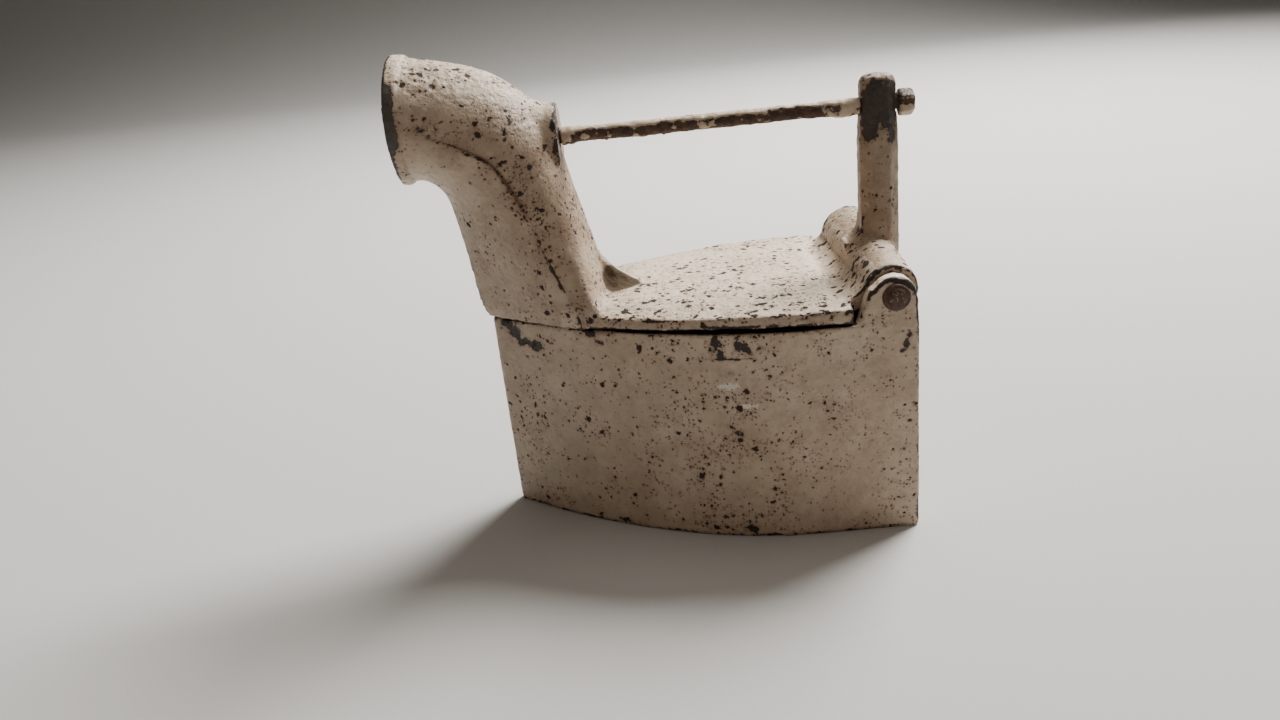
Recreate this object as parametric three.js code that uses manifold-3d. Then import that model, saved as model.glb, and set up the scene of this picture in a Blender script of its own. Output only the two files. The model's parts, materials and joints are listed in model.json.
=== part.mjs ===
// A chimney charcoal iron: a cast-iron box with a hinged lid that carries the flue and the handle bolt.
// Millimetres. +X points to the heel, -X to the nose, +Z up. The sole's underside is z = 0.
import * as THREE from 'three';
import { mergeVertices } from 'three/addons/utils/BufferGeometryUtils.js';
import Module from 'manifold-3d';

const wasm = await Module();
wasm.setup();

// Body casting
const BODY_LENGTH = 165;
const HEEL_X = BODY_LENGTH / 2;
const NOSE_X = -BODY_LENGTH / 2;
const HALF_WIDTH = 51;
const HEEL_HALF_WIDTH = 50.5;
const SHOULDER_X = 42; // the sides stop widening here
const BOW_POWER = 1.9; // 1 is a straight-sided wedge, 2 a parabola
const HEEL_CORNER = 2;
const EDGE_WEAR = 0.7;
const RIM_Z = 85.5;
const WALL = 5;
const SOLE_THICKNESS = 11.5;
const GAP = 0.3; // clearance between touching pieces

// Hinge across the heel
const HINGE_X = 74;
const HINGE_Z = 95.3;
const BARREL_RADIUS = 10;
const BARREL_FAR_RADIUS = 12.2; // the barrel is cast with a taper
const BARREL_CLEARANCE = 0.7;
const EAR_INNER_Y = 43.5;
const EAR_OUTER_Y = 50.3;
const EAR_RADIUS = 8.3;
const PIN_RADIUS = 3;
const PIN_HEAD_RADIUS = 5.2;
const PIN_HEAD_HEIGHT = 2.2;
const WASHER_RADIUS = 6.2;
const WASHER_THICKNESS = 1.2;

// Handle: post, bolt and nut
const POST_X = 78.5;
const POST_ACROSS_FLATS = 15;
const POST_BASE_Z = 97;
const POST_TOP_Z = 168;
const POST_DOME = 3.4;
const POST_FILLET = 6;
const NOTCH_HALF_WIDTH = 8.5;
const NOTCH_Z = 79; // the post's back lands in this notch when the lid is fully open
const ROD_Z = 156.3;
const ROD_RADIUS = 2.5;
const ROD_HEAD_RADIUS = 4.6;
const ROD_HEAD_X = -51.6;
const ROD_HEAD_THICKNESS = 2.4;
const NUT_ACROSS_FLATS = 10;
const NUT_THICKNESS = 6;

// Lug on the back of the chimney
const LUG_FRONT_X = -60;
const LUG_BACK_X = -44;
const LUG_HALF_WIDTH = 11;
const LUG_BOTTOM_Z = 147;
const LUG_TOP_Z = 169.6;
const LUG_CHAMFER = 2;

// Lid plate
const PLATE_FRONT_X = -62;
const PLATE_BACK_X = 58.8;
const PLATE_INSET = 0.2;
const PLATE_CROWN_Z = 95;
const PLATE_END_GAP = 0.7; // gap to the body's rim at the plate's two ends
const PLATE_BOW = 2.3; // the plate has warped up this much between them
const PLATE_TILT = 1.7; // its far edge is this much higher than its near edge
const RIB_FRONT_X = -20;
const RIB_BACK_X = 54;
const RIB_THICKNESS = 2.5;
const RIB_CLEARANCE = 1.2;
const RIB_BOTTOM_Z = 82.5;

// Chimney
const FLUE_WALL = 4;
const LIP_STEP = 0.9; // how far the front cowl stands proud of the back
const SECTION_STEPS = 7;

// Grate and its ledges
const GRATE_BOTTOM_Z = 27;
const GRATE_THICKNESS = 4;
const GRATE_INSET = 1.2;
const GRATE_BAR = 5;
const GRATE_SLOT = 6;
const LEDGE_DEPTH = 5;
const LEDGE_LENGTH = 12;
const LEDGE_HEIGHT = 6;

// Draft hole in the heel and its swinging damper
const DRAFT_Z = 20;
const DRAFT_RADIUS = 6.8;
const DAMPER_PIVOT_Z = 38;
const DAMPER_RADIUS = 11;
const DAMPER_TOP_RADIUS = 6.5;
const DAMPER_THICKNESS = 2.4;
const KNOB_RADIUS = 3.4;
const KNOB_HEIGHT = 5;
const RIVET_RADIUS = 2;
const RIVET_HEAD_RADIUS = 4;
const RIVET_HEAD_HEIGHT = 1.8;

// Solids --------------------------------------------------------------------------------------

function solid(geometry) {
  const bare = geometry.clone();
  bare.deleteAttribute('normal');
  bare.deleteAttribute('uv');
  const merged = mergeVertices(bare, 1e-4);
  return new wasm.Manifold(
    new wasm.Mesh({
      numProp: 3,
      vertProperties: new Float32Array(merged.attributes.position.array),
      triVerts: new Uint32Array(merged.index.array),
    }),
  );
}

function join(...parts) {
  return parts.reduce((whole, part) => whole.add(part));
}

function cut(whole, ...tools) {
  return tools.reduce((rest, tool) => rest.subtract(tool), whole);
}

function meshOf(name, shape, material) {
  const made = shape.getMesh();
  const geometry = new THREE.BufferGeometry();
  geometry.setAttribute('position', new THREE.BufferAttribute(made.vertProperties, 3));
  geometry.setIndex(new THREE.BufferAttribute(made.triVerts, 1));
  geometry.computeVertexNormals();
  const mesh = new THREE.Mesh(geometry, material);
  mesh.name = name;
  return mesh;
}

function box(low, high) {
  const size = high.map((value, i) => value - low[i]);
  const centre = high.map((value, i) => (value + low[i]) / 2);
  return solid(new THREE.BoxGeometry(...size).translate(...centre));
}

// An outline in (x, y), pushed up from z = low to z = high.
function alongZ(shape, low, high, edge = 0) {
  return solid(extruded(shape, high - low, edge).translate(0, 0, low));
}

// An outline in (x, z), pushed from y = low to y = high.
function alongY(shape, low, high, edge = 0) {
  return solid(extruded(shape, high - low, edge).rotateX(Math.PI / 2).translate(0, high, 0));
}

// An outline in (y, z), pushed from x = low to x = high.
function alongX(shape, low, high, edge = 0) {
  const turn = new THREE.Matrix4().makeBasis(
    new THREE.Vector3(0, 1, 0),
    new THREE.Vector3(0, 0, 1),
    new THREE.Vector3(1, 0, 0),
  );
  return solid(extruded(shape, high - low, edge).applyMatrix4(turn).translate(low, 0, 0));
}

// An extrusion of the stated depth whose two end edges are chamfered by edge, inside the outline.
function extruded(shape, depth, edge) {
  return new THREE.ExtrudeGeometry(shape, {
    depth: depth - 2 * edge,
    bevelEnabled: edge > 0,
    bevelThickness: edge,
    bevelSize: edge,
    bevelOffset: -edge,
    bevelSegments: 1,
    curveSegments: 4,
  }).translate(0, 0, edge);
}

// A turned piece: points are (radius, height), and its axis runs from base along 'x', 'y' or 'z'.
function turned(points, axis, base, sides = 20) {
  const profile = points.map(([radius, height]) => new THREE.Vector2(radius, height));
  const geometry = new THREE.LatheGeometry(profile, sides, Math.PI / sides);
  if (axis === 'x') geometry.rotateZ(-Math.PI / 2);
  if (axis === 'z') geometry.rotateX(Math.PI / 2);
  return solid(geometry.translate(...base));
}

function cylinder(radius, length, axis, base, sides = 20) {
  return turned([[0, 0], [radius, 0], [radius, length], [0, length]], axis, base, sides);
}

// A skin over rings of equal length, each anticlockwise when seen from the next ring, with flat ends.
function loft(rings) {
  const count = rings[0].length;
  const points = rings.flat();
  const faces = [];
  for (let ring = 0; ring < rings.length - 1; ring += 1) {
    for (let i = 0; i < count; i += 1) {
      const a = ring * count + i;
      const b = ring * count + ((i + 1) % count);
      faces.push(a, b, b + count, a, b + count, a + count);
    }
  }
  const last = (rings.length - 1) * count;
  const ends = [rings[0], rings[rings.length - 1]];
  const [start, end] = ends.map((ring) => {
    const centre = new THREE.Vector3();
    ring.forEach((point) => centre.addScaledVector(point, 1 / count));
    points.push(centre);
    return points.length - 1;
  });
  for (let i = 0; i < count; i += 1) {
    const next = (i + 1) % count;
    faces.push(start, next, i, end, last + i, last + next);
  }
  const geometry = new THREE.BufferGeometry().setFromPoints(points);
  geometry.setIndex(faces);
  return solid(geometry);
}

function blend(from, to, t) {
  return from + (to - from) * THREE.MathUtils.clamp(t, 0, 1);
}

// Body ----------------------------------------------------------------------------------------

// Half the body's width at x, before its heel corners are rounded.
function halfWidth(x) {
  if (x < SHOULDER_X) {
    return HALF_WIDTH * (1 - ((SHOULDER_X - x) / (SHOULDER_X - NOSE_X)) ** BOW_POWER);
  }
  return blend(HALF_WIDTH, HEEL_HALF_WIDTH, (x - SHOULDER_X) / (HEEL_X - SHOULDER_X));
}

// The boat-shaped outline, moved inwards by inset.
function outline(inset) {
  const steps = 18;
  const heel = HEEL_X - inset;
  const side = [];
  for (let i = 0; i <= steps; i += 1) {
    const x = NOSE_X + (SHOULDER_X - NOSE_X) * (i / steps) ** 1.3;
    const slope = (halfWidth(x + 0.01) - halfWidth(x)) / 0.01;
    const length = Math.hypot(1, slope);
    side.push([x + (inset * slope) / length, halfWidth(x) - inset / length]);
  }
  const kept = side.filter(([, y]) => y > 0.5);
  const [[x0, y0], [x1, y1]] = kept;
  const tip = x0 - (y0 * (x1 - x0)) / (y1 - y0);
  const corner = HEEL_CORNER + (inset > 0 ? 1 : 0);
  const rear = HEEL_HALF_WIDTH - inset;
  const shape = new THREE.Shape();
  shape.moveTo(tip, 0);
  kept.forEach(([x, y]) => shape.lineTo(x, -y));
  shape.lineTo(heel - corner, -rear);
  shape.absarc(heel - corner, -rear + corner, corner, -Math.PI / 2, 0, false);
  shape.lineTo(heel, rear - corner);
  shape.absarc(heel - corner, rear - corner, corner, 0, Math.PI / 2, false);
  kept.reverse().forEach(([x, y]) => shape.lineTo(x, y));
  return shape;
}

// One of the two ears that hold the hinge pin, seen from the side.
function earOutline() {
  const shape = new THREE.Shape();
  shape.moveTo(59.6, RIM_Z - 4);
  shape.lineTo(59.6, RIM_Z);
  shape.lineTo(62, 93.5);
  shape.lineTo(HINGE_X - EAR_RADIUS - 1.6, 98);
  shape.absarc(HINGE_X, HINGE_Z - 0.8, EAR_RADIUS, 2.55, 0.35, true);
  shape.lineTo(HEEL_X, RIM_Z - 4);
  return shape;
}

function bodyCasting() {
  const block = alongZ(outline(0), 0, RIM_Z, EDGE_WEAR);
  const chamber = alongZ(outline(WALL), SOLE_THICKNESS, RIM_Z + 5);
  const ears = [
    alongY(earOutline(), EAR_INNER_Y, EAR_OUTER_Y, EDGE_WEAR),
    alongY(earOutline(), -EAR_OUTER_Y, -EAR_INNER_Y, EDGE_WEAR),
  ];
  const barrelRoom = taperedBarrel(BARREL_CLEARANCE, EAR_INNER_Y);
  const notch = box(
    [HEEL_X - 2 * WALL, -NOTCH_HALF_WIDTH, NOTCH_Z],
    [HEEL_X + 1, NOTCH_HALF_WIDTH, RIM_Z + 1],
  );
  const pinBore = cylinder(PIN_RADIUS + GAP, 120, 'y', [HINGE_X, -60, HINGE_Z]);
  const draftHole = cylinder(DRAFT_RADIUS, 3 * WALL, 'x', [HEEL_X - 2 * WALL, 0, DRAFT_Z], 24);
  const rivetBore = cylinder(RIVET_RADIUS + GAP, 3 * WALL, 'x', [HEEL_X - 2 * WALL, 0, DAMPER_PIVOT_Z]);
  const shell = cut(block, chamber);
  return cut(join(shell, ...ears, ...ledges()), barrelRoom, notch, pinBore, draftHole, rivetBore);
}

// Small shelves on the walls that the grate rests on.
function ledges() {
  const top = GRATE_BOTTOM_Z - GAP;
  const bottom = top - LEDGE_HEIGHT;
  return [-38, 12, 58].flatMap((x) =>
    [-1, 1].map((side) => {
      const wall = halfWidth(x) - WALL / 2;
      const inner = halfWidth(x) - WALL - LEDGE_DEPTH;
      const [low, high] = side > 0 ? [inner, wall] : [-wall, -inner];
      return box([x, low, bottom], [x + LEDGE_LENGTH, high, top]);
    }),
  );
}

// Grate ---------------------------------------------------------------------------------------

function grate() {
  const slab = alongZ(outline(WALL + GRATE_INSET), GRATE_BOTTOM_Z, GRATE_BOTTOM_Z + GRATE_THICKNESS);
  const slots = [];
  for (let x = -42; x < 66; x += GRATE_SLOT + GRATE_BAR) {
    const reach = halfWidth(x) - WALL - GRATE_INSET - 9;
    [-1, 1].forEach((side) => {
      const [low, high] = side > 0 ? [GRATE_BAR / 2, reach] : [-reach, -GRATE_BAR / 2];
      slots.push(
        box(
          [x, low, GRATE_BOTTOM_Z - 1],
          [x + GRATE_SLOT, high, GRATE_BOTTOM_Z + GRATE_THICKNESS + 1],
        ),
      );
    });
  }
  return cut(slab, ...slots);
}

// Chimney -------------------------------------------------------------------------------------

// Stations up the flue. front and back are points (x, z) on the middle plane, side is how far
// from front to back the widest point lies, and half is half the width there. round is 0 for the
// pointed bow over the nose and 1 for a true circle.
const STATIONS = [
  { front: [-82.5, 85.8], back: [-21, 85.8], side: 0.675, half: 27.4, round: 0 },
  { front: [-84.7, 90], back: [-21, 93], side: 0.665, half: 27, round: 0.02 },
  { front: [-85.7, 95], back: [-25.5, 98.5], side: 0.69, half: 25.8, round: 0.06 },
  { front: [-86.6, 102], back: [-31.3, 104.5], side: 0.71, half: 24.8, round: 0.14 },
  { front: [-88, 116], back: [-36.3, 118], side: 0.67, half: 23.2, round: 0.3 },
  { front: [-90.5, 132.6], back: [-40.6, 135], side: 0.588, half: 22.4, round: 0.5 },
  { front: [-92, 138.1], back: [-43.6, 150], side: 0.53, half: 22.6, round: 0.62 },
  { front: [-94.2, 142], back: [-48, 164], side: 0.48, half: 22.9, round: 0.74 },
  { front: [-96.8, 144.3], back: [-56, 174], side: 0.45, half: 23.2, round: 0.84 },
  { front: [-99.4, 145.2], back: [-68.5, 183], side: 0.45, half: 23.5, round: 0.93 },
  { front: [-101.6, 145.2], back: [-85, 188.5], side: 0.47, half: 23.7, round: 0.98 },
  { front: [-103, 144.8], back: [-97.6, 191.1], side: 0.5, half: 23.9, round: 1 },
  { front: [-103.4, 143.9], back: [-99.3, 192.4], side: 0.5, half: 24.5, round: 1 },
  { front: [-106, 143.7], back: [-104.5, 192.9], side: 0.5, half: 24.6, round: 1 },
];

// A station's closed section, inset from its outer skin. step is the cowl's height at the crease.
function section(station, inset, step) {
  const front = new THREE.Vector2(...station.front);
  const back = new THREE.Vector2(...station.back);
  const axis = back.clone().sub(front).normalize();
  const start = front.clone().addScaledVector(axis, inset * blend(1.7, 1, station.round));
  const reach = back.distanceTo(start) - inset;
  const outer = back.distanceTo(front);
  const widest = THREE.MathUtils.clamp(outer * station.side - (start.distanceTo(front)), 0, reach);
  const half = station.half - inset;
  const bow = THREE.MathUtils.degToRad(blend(38, 90, station.round * 1.3));
  const flare = THREE.MathUtils.degToRad(blend(27, 0, station.round * 1.5));
  const full = station.round;
  const pull = blend(widest * 0.34, half * 0.5523, full);
  const ease = blend(widest * 0.34, widest * 0.5523, full);
  const rear = reach - widest;
  const turn = blend(rear * 0.42, rear * 0.5523, full);
  const flat = blend(half * 0.62, half * 0.5523, full);
  const proud = new THREE.Vector2(-Math.sin(flare), Math.cos(flare)).multiplyScalar(step);
  const ahead = new THREE.CubicBezierCurve(
    new THREE.Vector2(0, 0),
    new THREE.Vector2(pull * Math.cos(bow), pull * Math.sin(bow)),
    new THREE.Vector2(widest - ease * Math.cos(flare), half - ease * Math.sin(flare)).add(proud),
    new THREE.Vector2(widest, half).add(proud),
  );
  const behind = new THREE.CubicBezierCurve(
    new THREE.Vector2(widest, half),
    new THREE.Vector2(widest + turn * Math.cos(flare), half + turn * Math.sin(flare) * 0.3),
    new THREE.Vector2(reach, flat),
    new THREE.Vector2(reach, 0),
  );
  const half1 = ahead.getPoints(SECTION_STEPS);
  const half2 = behind.getPoints(SECTION_STEPS);
  const skin = step > 0 ? [...half1, ...half2] : [...half1, ...half2.slice(1)];
  const place = (point, side) =>
    new THREE.Vector3(start.x + axis.x * point.x, side * point.y, start.y + axis.y * point.x);
  const near = skin.map((point) => place(point, -1));
  const far = skin.slice(1, -1).reverse().map((point) => place(point, 1));
  return [...near, ...far];
}

function chimneySkin() {
  return loft(
    STATIONS.map((station) => section(station, 0, blend(LIP_STEP, 0.1, station.round * 1.1))),
  );
}

// The flue's hollow, run out past the mouth and down through the lid plate.
function flue() {
  const rings = STATIONS.map((station) => section(station, FLUE_WALL, 0));
  const below = rings[0].map((point) => point.clone().setZ(RIM_Z - 8));
  const mouth = rings[rings.length - 1].map((point) => point.clone().add(new THREE.Vector3(-8, 0, 0)));
  return loft([below, ...rings, mouth]);
}

// Lid -----------------------------------------------------------------------------------------

function plateRing(x) {
  const w = halfWidth(x) - PLATE_INSET;
  const bottom = RIM_Z + PLATE_END_GAP + PLATE_BOW * Math.max(0, 1 - ((x - 4) / 56) ** 4);
  const edge = Math.min(94, 92 + 1.4 * (Math.max(0, 30 - x) / 30) ** 2);
  const crown = PLATE_CROWN_Z - 0.06 * Math.max(0, x - 40);
  const side = (sign) => {
    const rim = sign > 0 ? Math.min(crown, edge + PLATE_TILT) : edge;
    return [
      [sign * w, bottom],
      [sign * w, rim - 0.9],
      [sign * (w - 1.2), rim],
      [sign * w * 0.75, blend(rim, crown, 0.55)],
      [sign * w * 0.4, blend(rim, crown, 0.9)],
    ];
  };
  const ring = [...side(1), [0, crown], ...side(-1).reverse()];
  return ring.map(([y, z]) => new THREE.Vector3(x, y, z));
}

function lidPlate() {
  const steps = 13;
  const rings = [];
  for (let i = 0; i <= steps; i += 1) {
    rings.push(plateRing(blend(PLATE_FRONT_X, PLATE_BACK_X, i / steps)));
  }
  return loft(rings);
}

// The web between the ears, which sweeps up from the plate into the barrel.
function hingeWeb() {
  const shape = new THREE.Shape();
  shape.moveTo(52, 88.5);
  shape.lineTo(HINGE_X, 88.5);
  shape.lineTo(HINGE_X, HINGE_Z + 6);
  shape.lineTo(HINGE_X - 7, HINGE_Z + 7);
  shape.quadraticCurveTo(HINGE_X - 11, 94.6, HINGE_X - 18, 93.6);
  shape.lineTo(52, 93.6);
  const y = EAR_INNER_Y - GAP;
  return alongY(shape, -y, y);
}

// The lid's hinge barrel from y = -reach to y = reach, made larger all round by extra.
function taperedBarrel(extra, reach) {
  const points = [
    [0, 0],
    [BARREL_RADIUS + extra, 0],
    [BARREL_FAR_RADIUS + extra, 2 * reach],
    [0, 2 * reach],
  ];
  return turned(points, 'y', [HINGE_X, -reach, HINGE_Z], 32);
}

function handlePost() {
  const radius = POST_ACROSS_FLATS / 2 / Math.cos(Math.PI / 8);
  const height = POST_TOP_Z - POST_BASE_Z;
  const shaft = turned(
    [
      [0, 0],
      [radius, 0],
      [radius, height - POST_DOME],
      [radius * 0.86, height - POST_DOME * 0.4],
      [radius * 0.5, height],
      [0, height + 0.3],
    ],
    'z',
    [POST_X, 0, POST_BASE_Z],
    8,
  );
  const front = POST_X - POST_ACROSS_FLATS / 2;
  const fillet = new THREE.Shape();
  fillet.moveTo(front + 2, POST_BASE_Z);
  fillet.lineTo(front + 2, HINGE_Z + BARREL_RADIUS + POST_FILLET + 2);
  fillet.lineTo(front, HINGE_Z + BARREL_RADIUS + POST_FILLET + 1);
  fillet.quadraticCurveTo(
    front,
    HINGE_Z + BARREL_RADIUS,
    front - POST_FILLET,
    HINGE_Z + BARREL_RADIUS - 2,
  );
  return join(shaft, alongY(fillet, -POST_ACROSS_FLATS * 0.4, POST_ACROSS_FLATS * 0.4));
}

function lug() {
  const shape = new THREE.Shape();
  const shoulder = LUG_TOP_Z - LUG_HALF_WIDTH;
  shape.moveTo(-LUG_HALF_WIDTH, LUG_BOTTOM_Z);
  shape.lineTo(LUG_HALF_WIDTH, LUG_BOTTOM_Z);
  shape.lineTo(LUG_HALF_WIDTH, shoulder);
  shape.absarc(0, shoulder, LUG_HALF_WIDTH, 0, Math.PI, false);
  return alongX(shape, LUG_FRONT_X, LUG_BACK_X, LUG_CHAMFER);
}

// Two ribs under the plate that drop just inside the body's side walls.
function lidRibs() {
  const steps = 5;
  return [-1, 1].map((side) => {
    const rings = [];
    for (let i = 0; i <= steps; i += 1) {
      const x = blend(RIB_FRONT_X, RIB_BACK_X, i / steps);
      const slope = (halfWidth(x + 0.01) - halfWidth(x)) / 0.01;
      const outer = halfWidth(x) - (WALL + RIB_CLEARANCE) * Math.hypot(1, slope);
      const inner = outer - RIB_THICKNESS;
      const [low, high] = side > 0 ? [inner, outer] : [-outer, -inner];
      rings.push([
        new THREE.Vector3(x, low, RIB_BOTTOM_Z),
        new THREE.Vector3(x, high, RIB_BOTTOM_Z),
        new THREE.Vector3(x, high, PLATE_CROWN_Z - 4.5),
        new THREE.Vector3(x, low, PLATE_CROWN_Z - 4.5),
      ]);
    }
    return loft(rings);
  });
}

function lidCasting() {
  const solidLid = join(
    lidPlate(),
    hingeWeb(),
    taperedBarrel(0, EAR_INNER_Y - GAP),
    handlePost(),
    chimneySkin(),
    lug(),
    ...lidRibs(),
  );
  const rodBore = cylinder(ROD_RADIUS + GAP, 160, 'x', [ROD_HEAD_X, 0, ROD_Z]);
  const headRoom = cylinder(ROD_HEAD_RADIUS + GAP, 12, 'x', [
    ROD_HEAD_X + ROD_HEAD_THICKNESS + GAP - 12,
    0,
    ROD_Z,
  ]);
  const pinBore = cylinder(PIN_RADIUS + GAP, 120, 'y', [HINGE_X, -60, HINGE_Z]);
  return cut(solidLid, flue(), rodBore, headRoom, pinBore);
}

// Fasteners -----------------------------------------------------------------------------------

function handleRod() {
  const head = cylinder(ROD_HEAD_RADIUS, ROD_HEAD_THICKNESS, 'x', [ROD_HEAD_X, 0, ROD_Z], 20);
  const back = POST_X + POST_ACROSS_FLATS / 2 + GAP + NUT_THICKNESS;
  return join(head, cylinder(ROD_RADIUS, back - ROD_HEAD_X, 'x', [ROD_HEAD_X, 0, ROD_Z], 16));
}

function rodNut() {
  const front = POST_X + POST_ACROSS_FLATS / 2 + GAP;
  const radius = NUT_ACROSS_FLATS / 2 / Math.cos(Math.PI / 6);
  const hexagon = turned(
    [
      [0, 0],
      [radius, 0],
      [radius, NUT_THICKNESS - 1.5],
      [radius - 1, NUT_THICKNESS],
      [0, NUT_THICKNESS],
    ],
    'x',
    [front, 0, ROD_Z],
    6,
  );
  return cut(hexagon, cylinder(ROD_RADIUS + GAP, 12, 'x', [front - 3, 0, ROD_Z], 16));
}

// A pin with a domed head on the near side and a hammered-over end past the washer.
function hingePin() {
  const start = -(EAR_OUTER_Y + GAP + PIN_HEAD_HEIGHT);
  const head = PIN_HEAD_HEIGHT;
  const tail = EAR_OUTER_Y + GAP + WASHER_THICKNESS + GAP - start;
  return turned(
    [
      [0, 0],
      [PIN_HEAD_RADIUS * 0.55, 0],
      [PIN_HEAD_RADIUS * 0.9, head * 0.5],
      [PIN_HEAD_RADIUS, head],
      [PIN_RADIUS, head],
      [PIN_RADIUS, tail],
      [PIN_RADIUS + 1.2, tail + 0.2],
      [PIN_RADIUS * 0.7, tail + 1.2],
      [0, tail + 1.2],
    ],
    'y',
    [HINGE_X, start, HINGE_Z],
  );
}

function pinWasher() {
  const base = EAR_OUTER_Y + GAP;
  const disc = cylinder(WASHER_RADIUS, WASHER_THICKNESS, 'y', [HINGE_X, base, HINGE_Z], 24);
  return cut(disc, cylinder(PIN_RADIUS + GAP, 6, 'y', [HINGE_X, base - 2, HINGE_Z]));
}

// Damper --------------------------------------------------------------------------------------

function damperPlate() {
  const shape = new THREE.Shape();
  const lean = Math.asin((DAMPER_RADIUS - DAMPER_TOP_RADIUS) / (DAMPER_PIVOT_Z - DRAFT_Z));
  shape.absarc(0, DRAFT_Z, DAMPER_RADIUS, Math.PI - lean, 2 * Math.PI + lean, false);
  shape.absarc(0, DAMPER_PIVOT_Z, DAMPER_TOP_RADIUS, lean, Math.PI - lean, false);
  const front = HEEL_X + GAP;
  const plate = alongX(shape, front, front + DAMPER_THICKNESS);
  const knob = turned(
    [
      [0, 0],
      [KNOB_RADIUS * 0.7, 0],
      [KNOB_RADIUS * 0.7, KNOB_HEIGHT * 0.45],
      [KNOB_RADIUS, KNOB_HEIGHT * 0.6],
      [KNOB_RADIUS * 0.8, KNOB_HEIGHT],
      [0, KNOB_HEIGHT],
    ],
    'x',
    [front + DAMPER_THICKNESS - 0.5, 0, DRAFT_Z - 3],
    16,
  );
  const bore = cylinder(RIVET_RADIUS + GAP, 3 * WALL, 'x', [HEEL_X - 2, 0, DAMPER_PIVOT_Z]);
  return cut(join(plate, knob), bore);
}

function damperRivet() {
  const inside = HEEL_X - WALL - GAP - RIVET_HEAD_HEIGHT;
  const length = WALL + 4 * GAP + DAMPER_THICKNESS + RIVET_HEAD_HEIGHT - GAP;
  return turned(
    [
      [0, 0],
      [RIVET_HEAD_RADIUS * 0.8, 0],
      [RIVET_HEAD_RADIUS, RIVET_HEAD_HEIGHT],
      [RIVET_RADIUS, RIVET_HEAD_HEIGHT],
      [RIVET_RADIUS, length],
      [RIVET_HEAD_RADIUS, length],
      [RIVET_HEAD_RADIUS * 0.8, length + RIVET_HEAD_HEIGHT * 0.7],
      [0, length + RIVET_HEAD_HEIGHT],
    ],
    'x',
    [inside, 0, DAMPER_PIVOT_Z],
    16,
  );
}

// Assembly ------------------------------------------------------------------------------------

function finish(color, roughness, metalness) {
  return new THREE.MeshStandardMaterial({ color, roughness, metalness });
}

const paint = finish(0xd8cab0, 0.75, 0);
const innerPaint = finish(0xcfc0a4, 0.8, 0);
const sootyIron = finish(0x2a2624, 0.85, 0.6);
const rustyIron = finish(0x5b4334, 0.8, 0.5);
const wornSteel = finish(0x4a4642, 0.55, 0.8);

const iron = new THREE.Group();
iron.name = 'chimney_charcoal_iron';
const heelGroup = new THREE.Group();
heelGroup.name = 'heel_hardware';
const lidGroup = new THREE.Group();
lidGroup.name = 'lid';
lidGroup.add(
  meshOf('lid_casting', lidCasting(), paint),
  meshOf('handle_rod', handleRod(), rustyIron),
  meshOf('rod_nut', rodNut(), wornSteel),
);
heelGroup.add(
  meshOf('hinge_pin', hingePin(), rustyIron),
  meshOf('hinge_pin_washer', pinWasher(), rustyIron),
  meshOf('damper_plate', damperPlate(), innerPaint),
  meshOf('damper_rivet', damperRivet(), rustyIron),
);
iron.add(
  meshOf('body_casting', bodyCasting(), paint),
  meshOf('grate', grate(), sootyIron),
  lidGroup,
  heelGroup,
);

export default iron;
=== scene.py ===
"""Looks of the chimney charcoal iron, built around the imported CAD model.

The two painted castings are rebuilt here at high resolution from the same outlines as the CAD ones, with
soft cast edges, lumps, worn corners and chips. Shapes are worked out in millimetres and scaled to metres.
"""
import json
import math

import bpy
import numpy as np
from mathutils import Matrix, Vector
from mathutils.bvhtree import BVHTree


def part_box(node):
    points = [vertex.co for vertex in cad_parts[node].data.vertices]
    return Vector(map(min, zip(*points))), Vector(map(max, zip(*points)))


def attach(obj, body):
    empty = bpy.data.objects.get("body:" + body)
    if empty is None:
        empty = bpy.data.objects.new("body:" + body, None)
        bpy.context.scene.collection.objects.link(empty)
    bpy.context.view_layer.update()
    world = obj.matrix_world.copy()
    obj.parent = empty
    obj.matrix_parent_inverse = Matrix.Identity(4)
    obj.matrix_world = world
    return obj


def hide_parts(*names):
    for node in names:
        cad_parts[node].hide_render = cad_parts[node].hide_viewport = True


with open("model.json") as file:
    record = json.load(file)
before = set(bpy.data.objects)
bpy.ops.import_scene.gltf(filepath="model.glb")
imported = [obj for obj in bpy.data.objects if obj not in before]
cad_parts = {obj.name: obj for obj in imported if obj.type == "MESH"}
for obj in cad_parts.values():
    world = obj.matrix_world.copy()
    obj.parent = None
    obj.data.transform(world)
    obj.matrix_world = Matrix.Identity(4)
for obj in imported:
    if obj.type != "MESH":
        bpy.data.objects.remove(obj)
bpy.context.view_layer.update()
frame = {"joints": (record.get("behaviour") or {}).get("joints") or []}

MM = 0.001


def node_box(name):
    low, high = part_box(name)
    return np.array(low) / MM, np.array(high) / MM


JOINTS = {joint["name"]: joint for joint in frame["joints"]}
BODY_LOW, BODY_HIGH = node_box("body_casting")
LID_LOW, LID_HIGH = node_box("lid_casting")
ROD_LOW, ROD_HIGH = node_box("handle_rod")
NUT_LOW, NUT_HIGH = node_box("rod_nut")
PIN_LOW, PIN_HIGH = node_box("hinge_pin")
WASHER_LOW, WASHER_HIGH = node_box("hinge_pin_washer")
GRATE_LOW, GRATE_HIGH = node_box("grate")
DAMPER_LOW, DAMPER_HIGH = node_box("damper_plate")
RIVET_LOW, RIVET_HIGH = node_box("damper_rivet")

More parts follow.
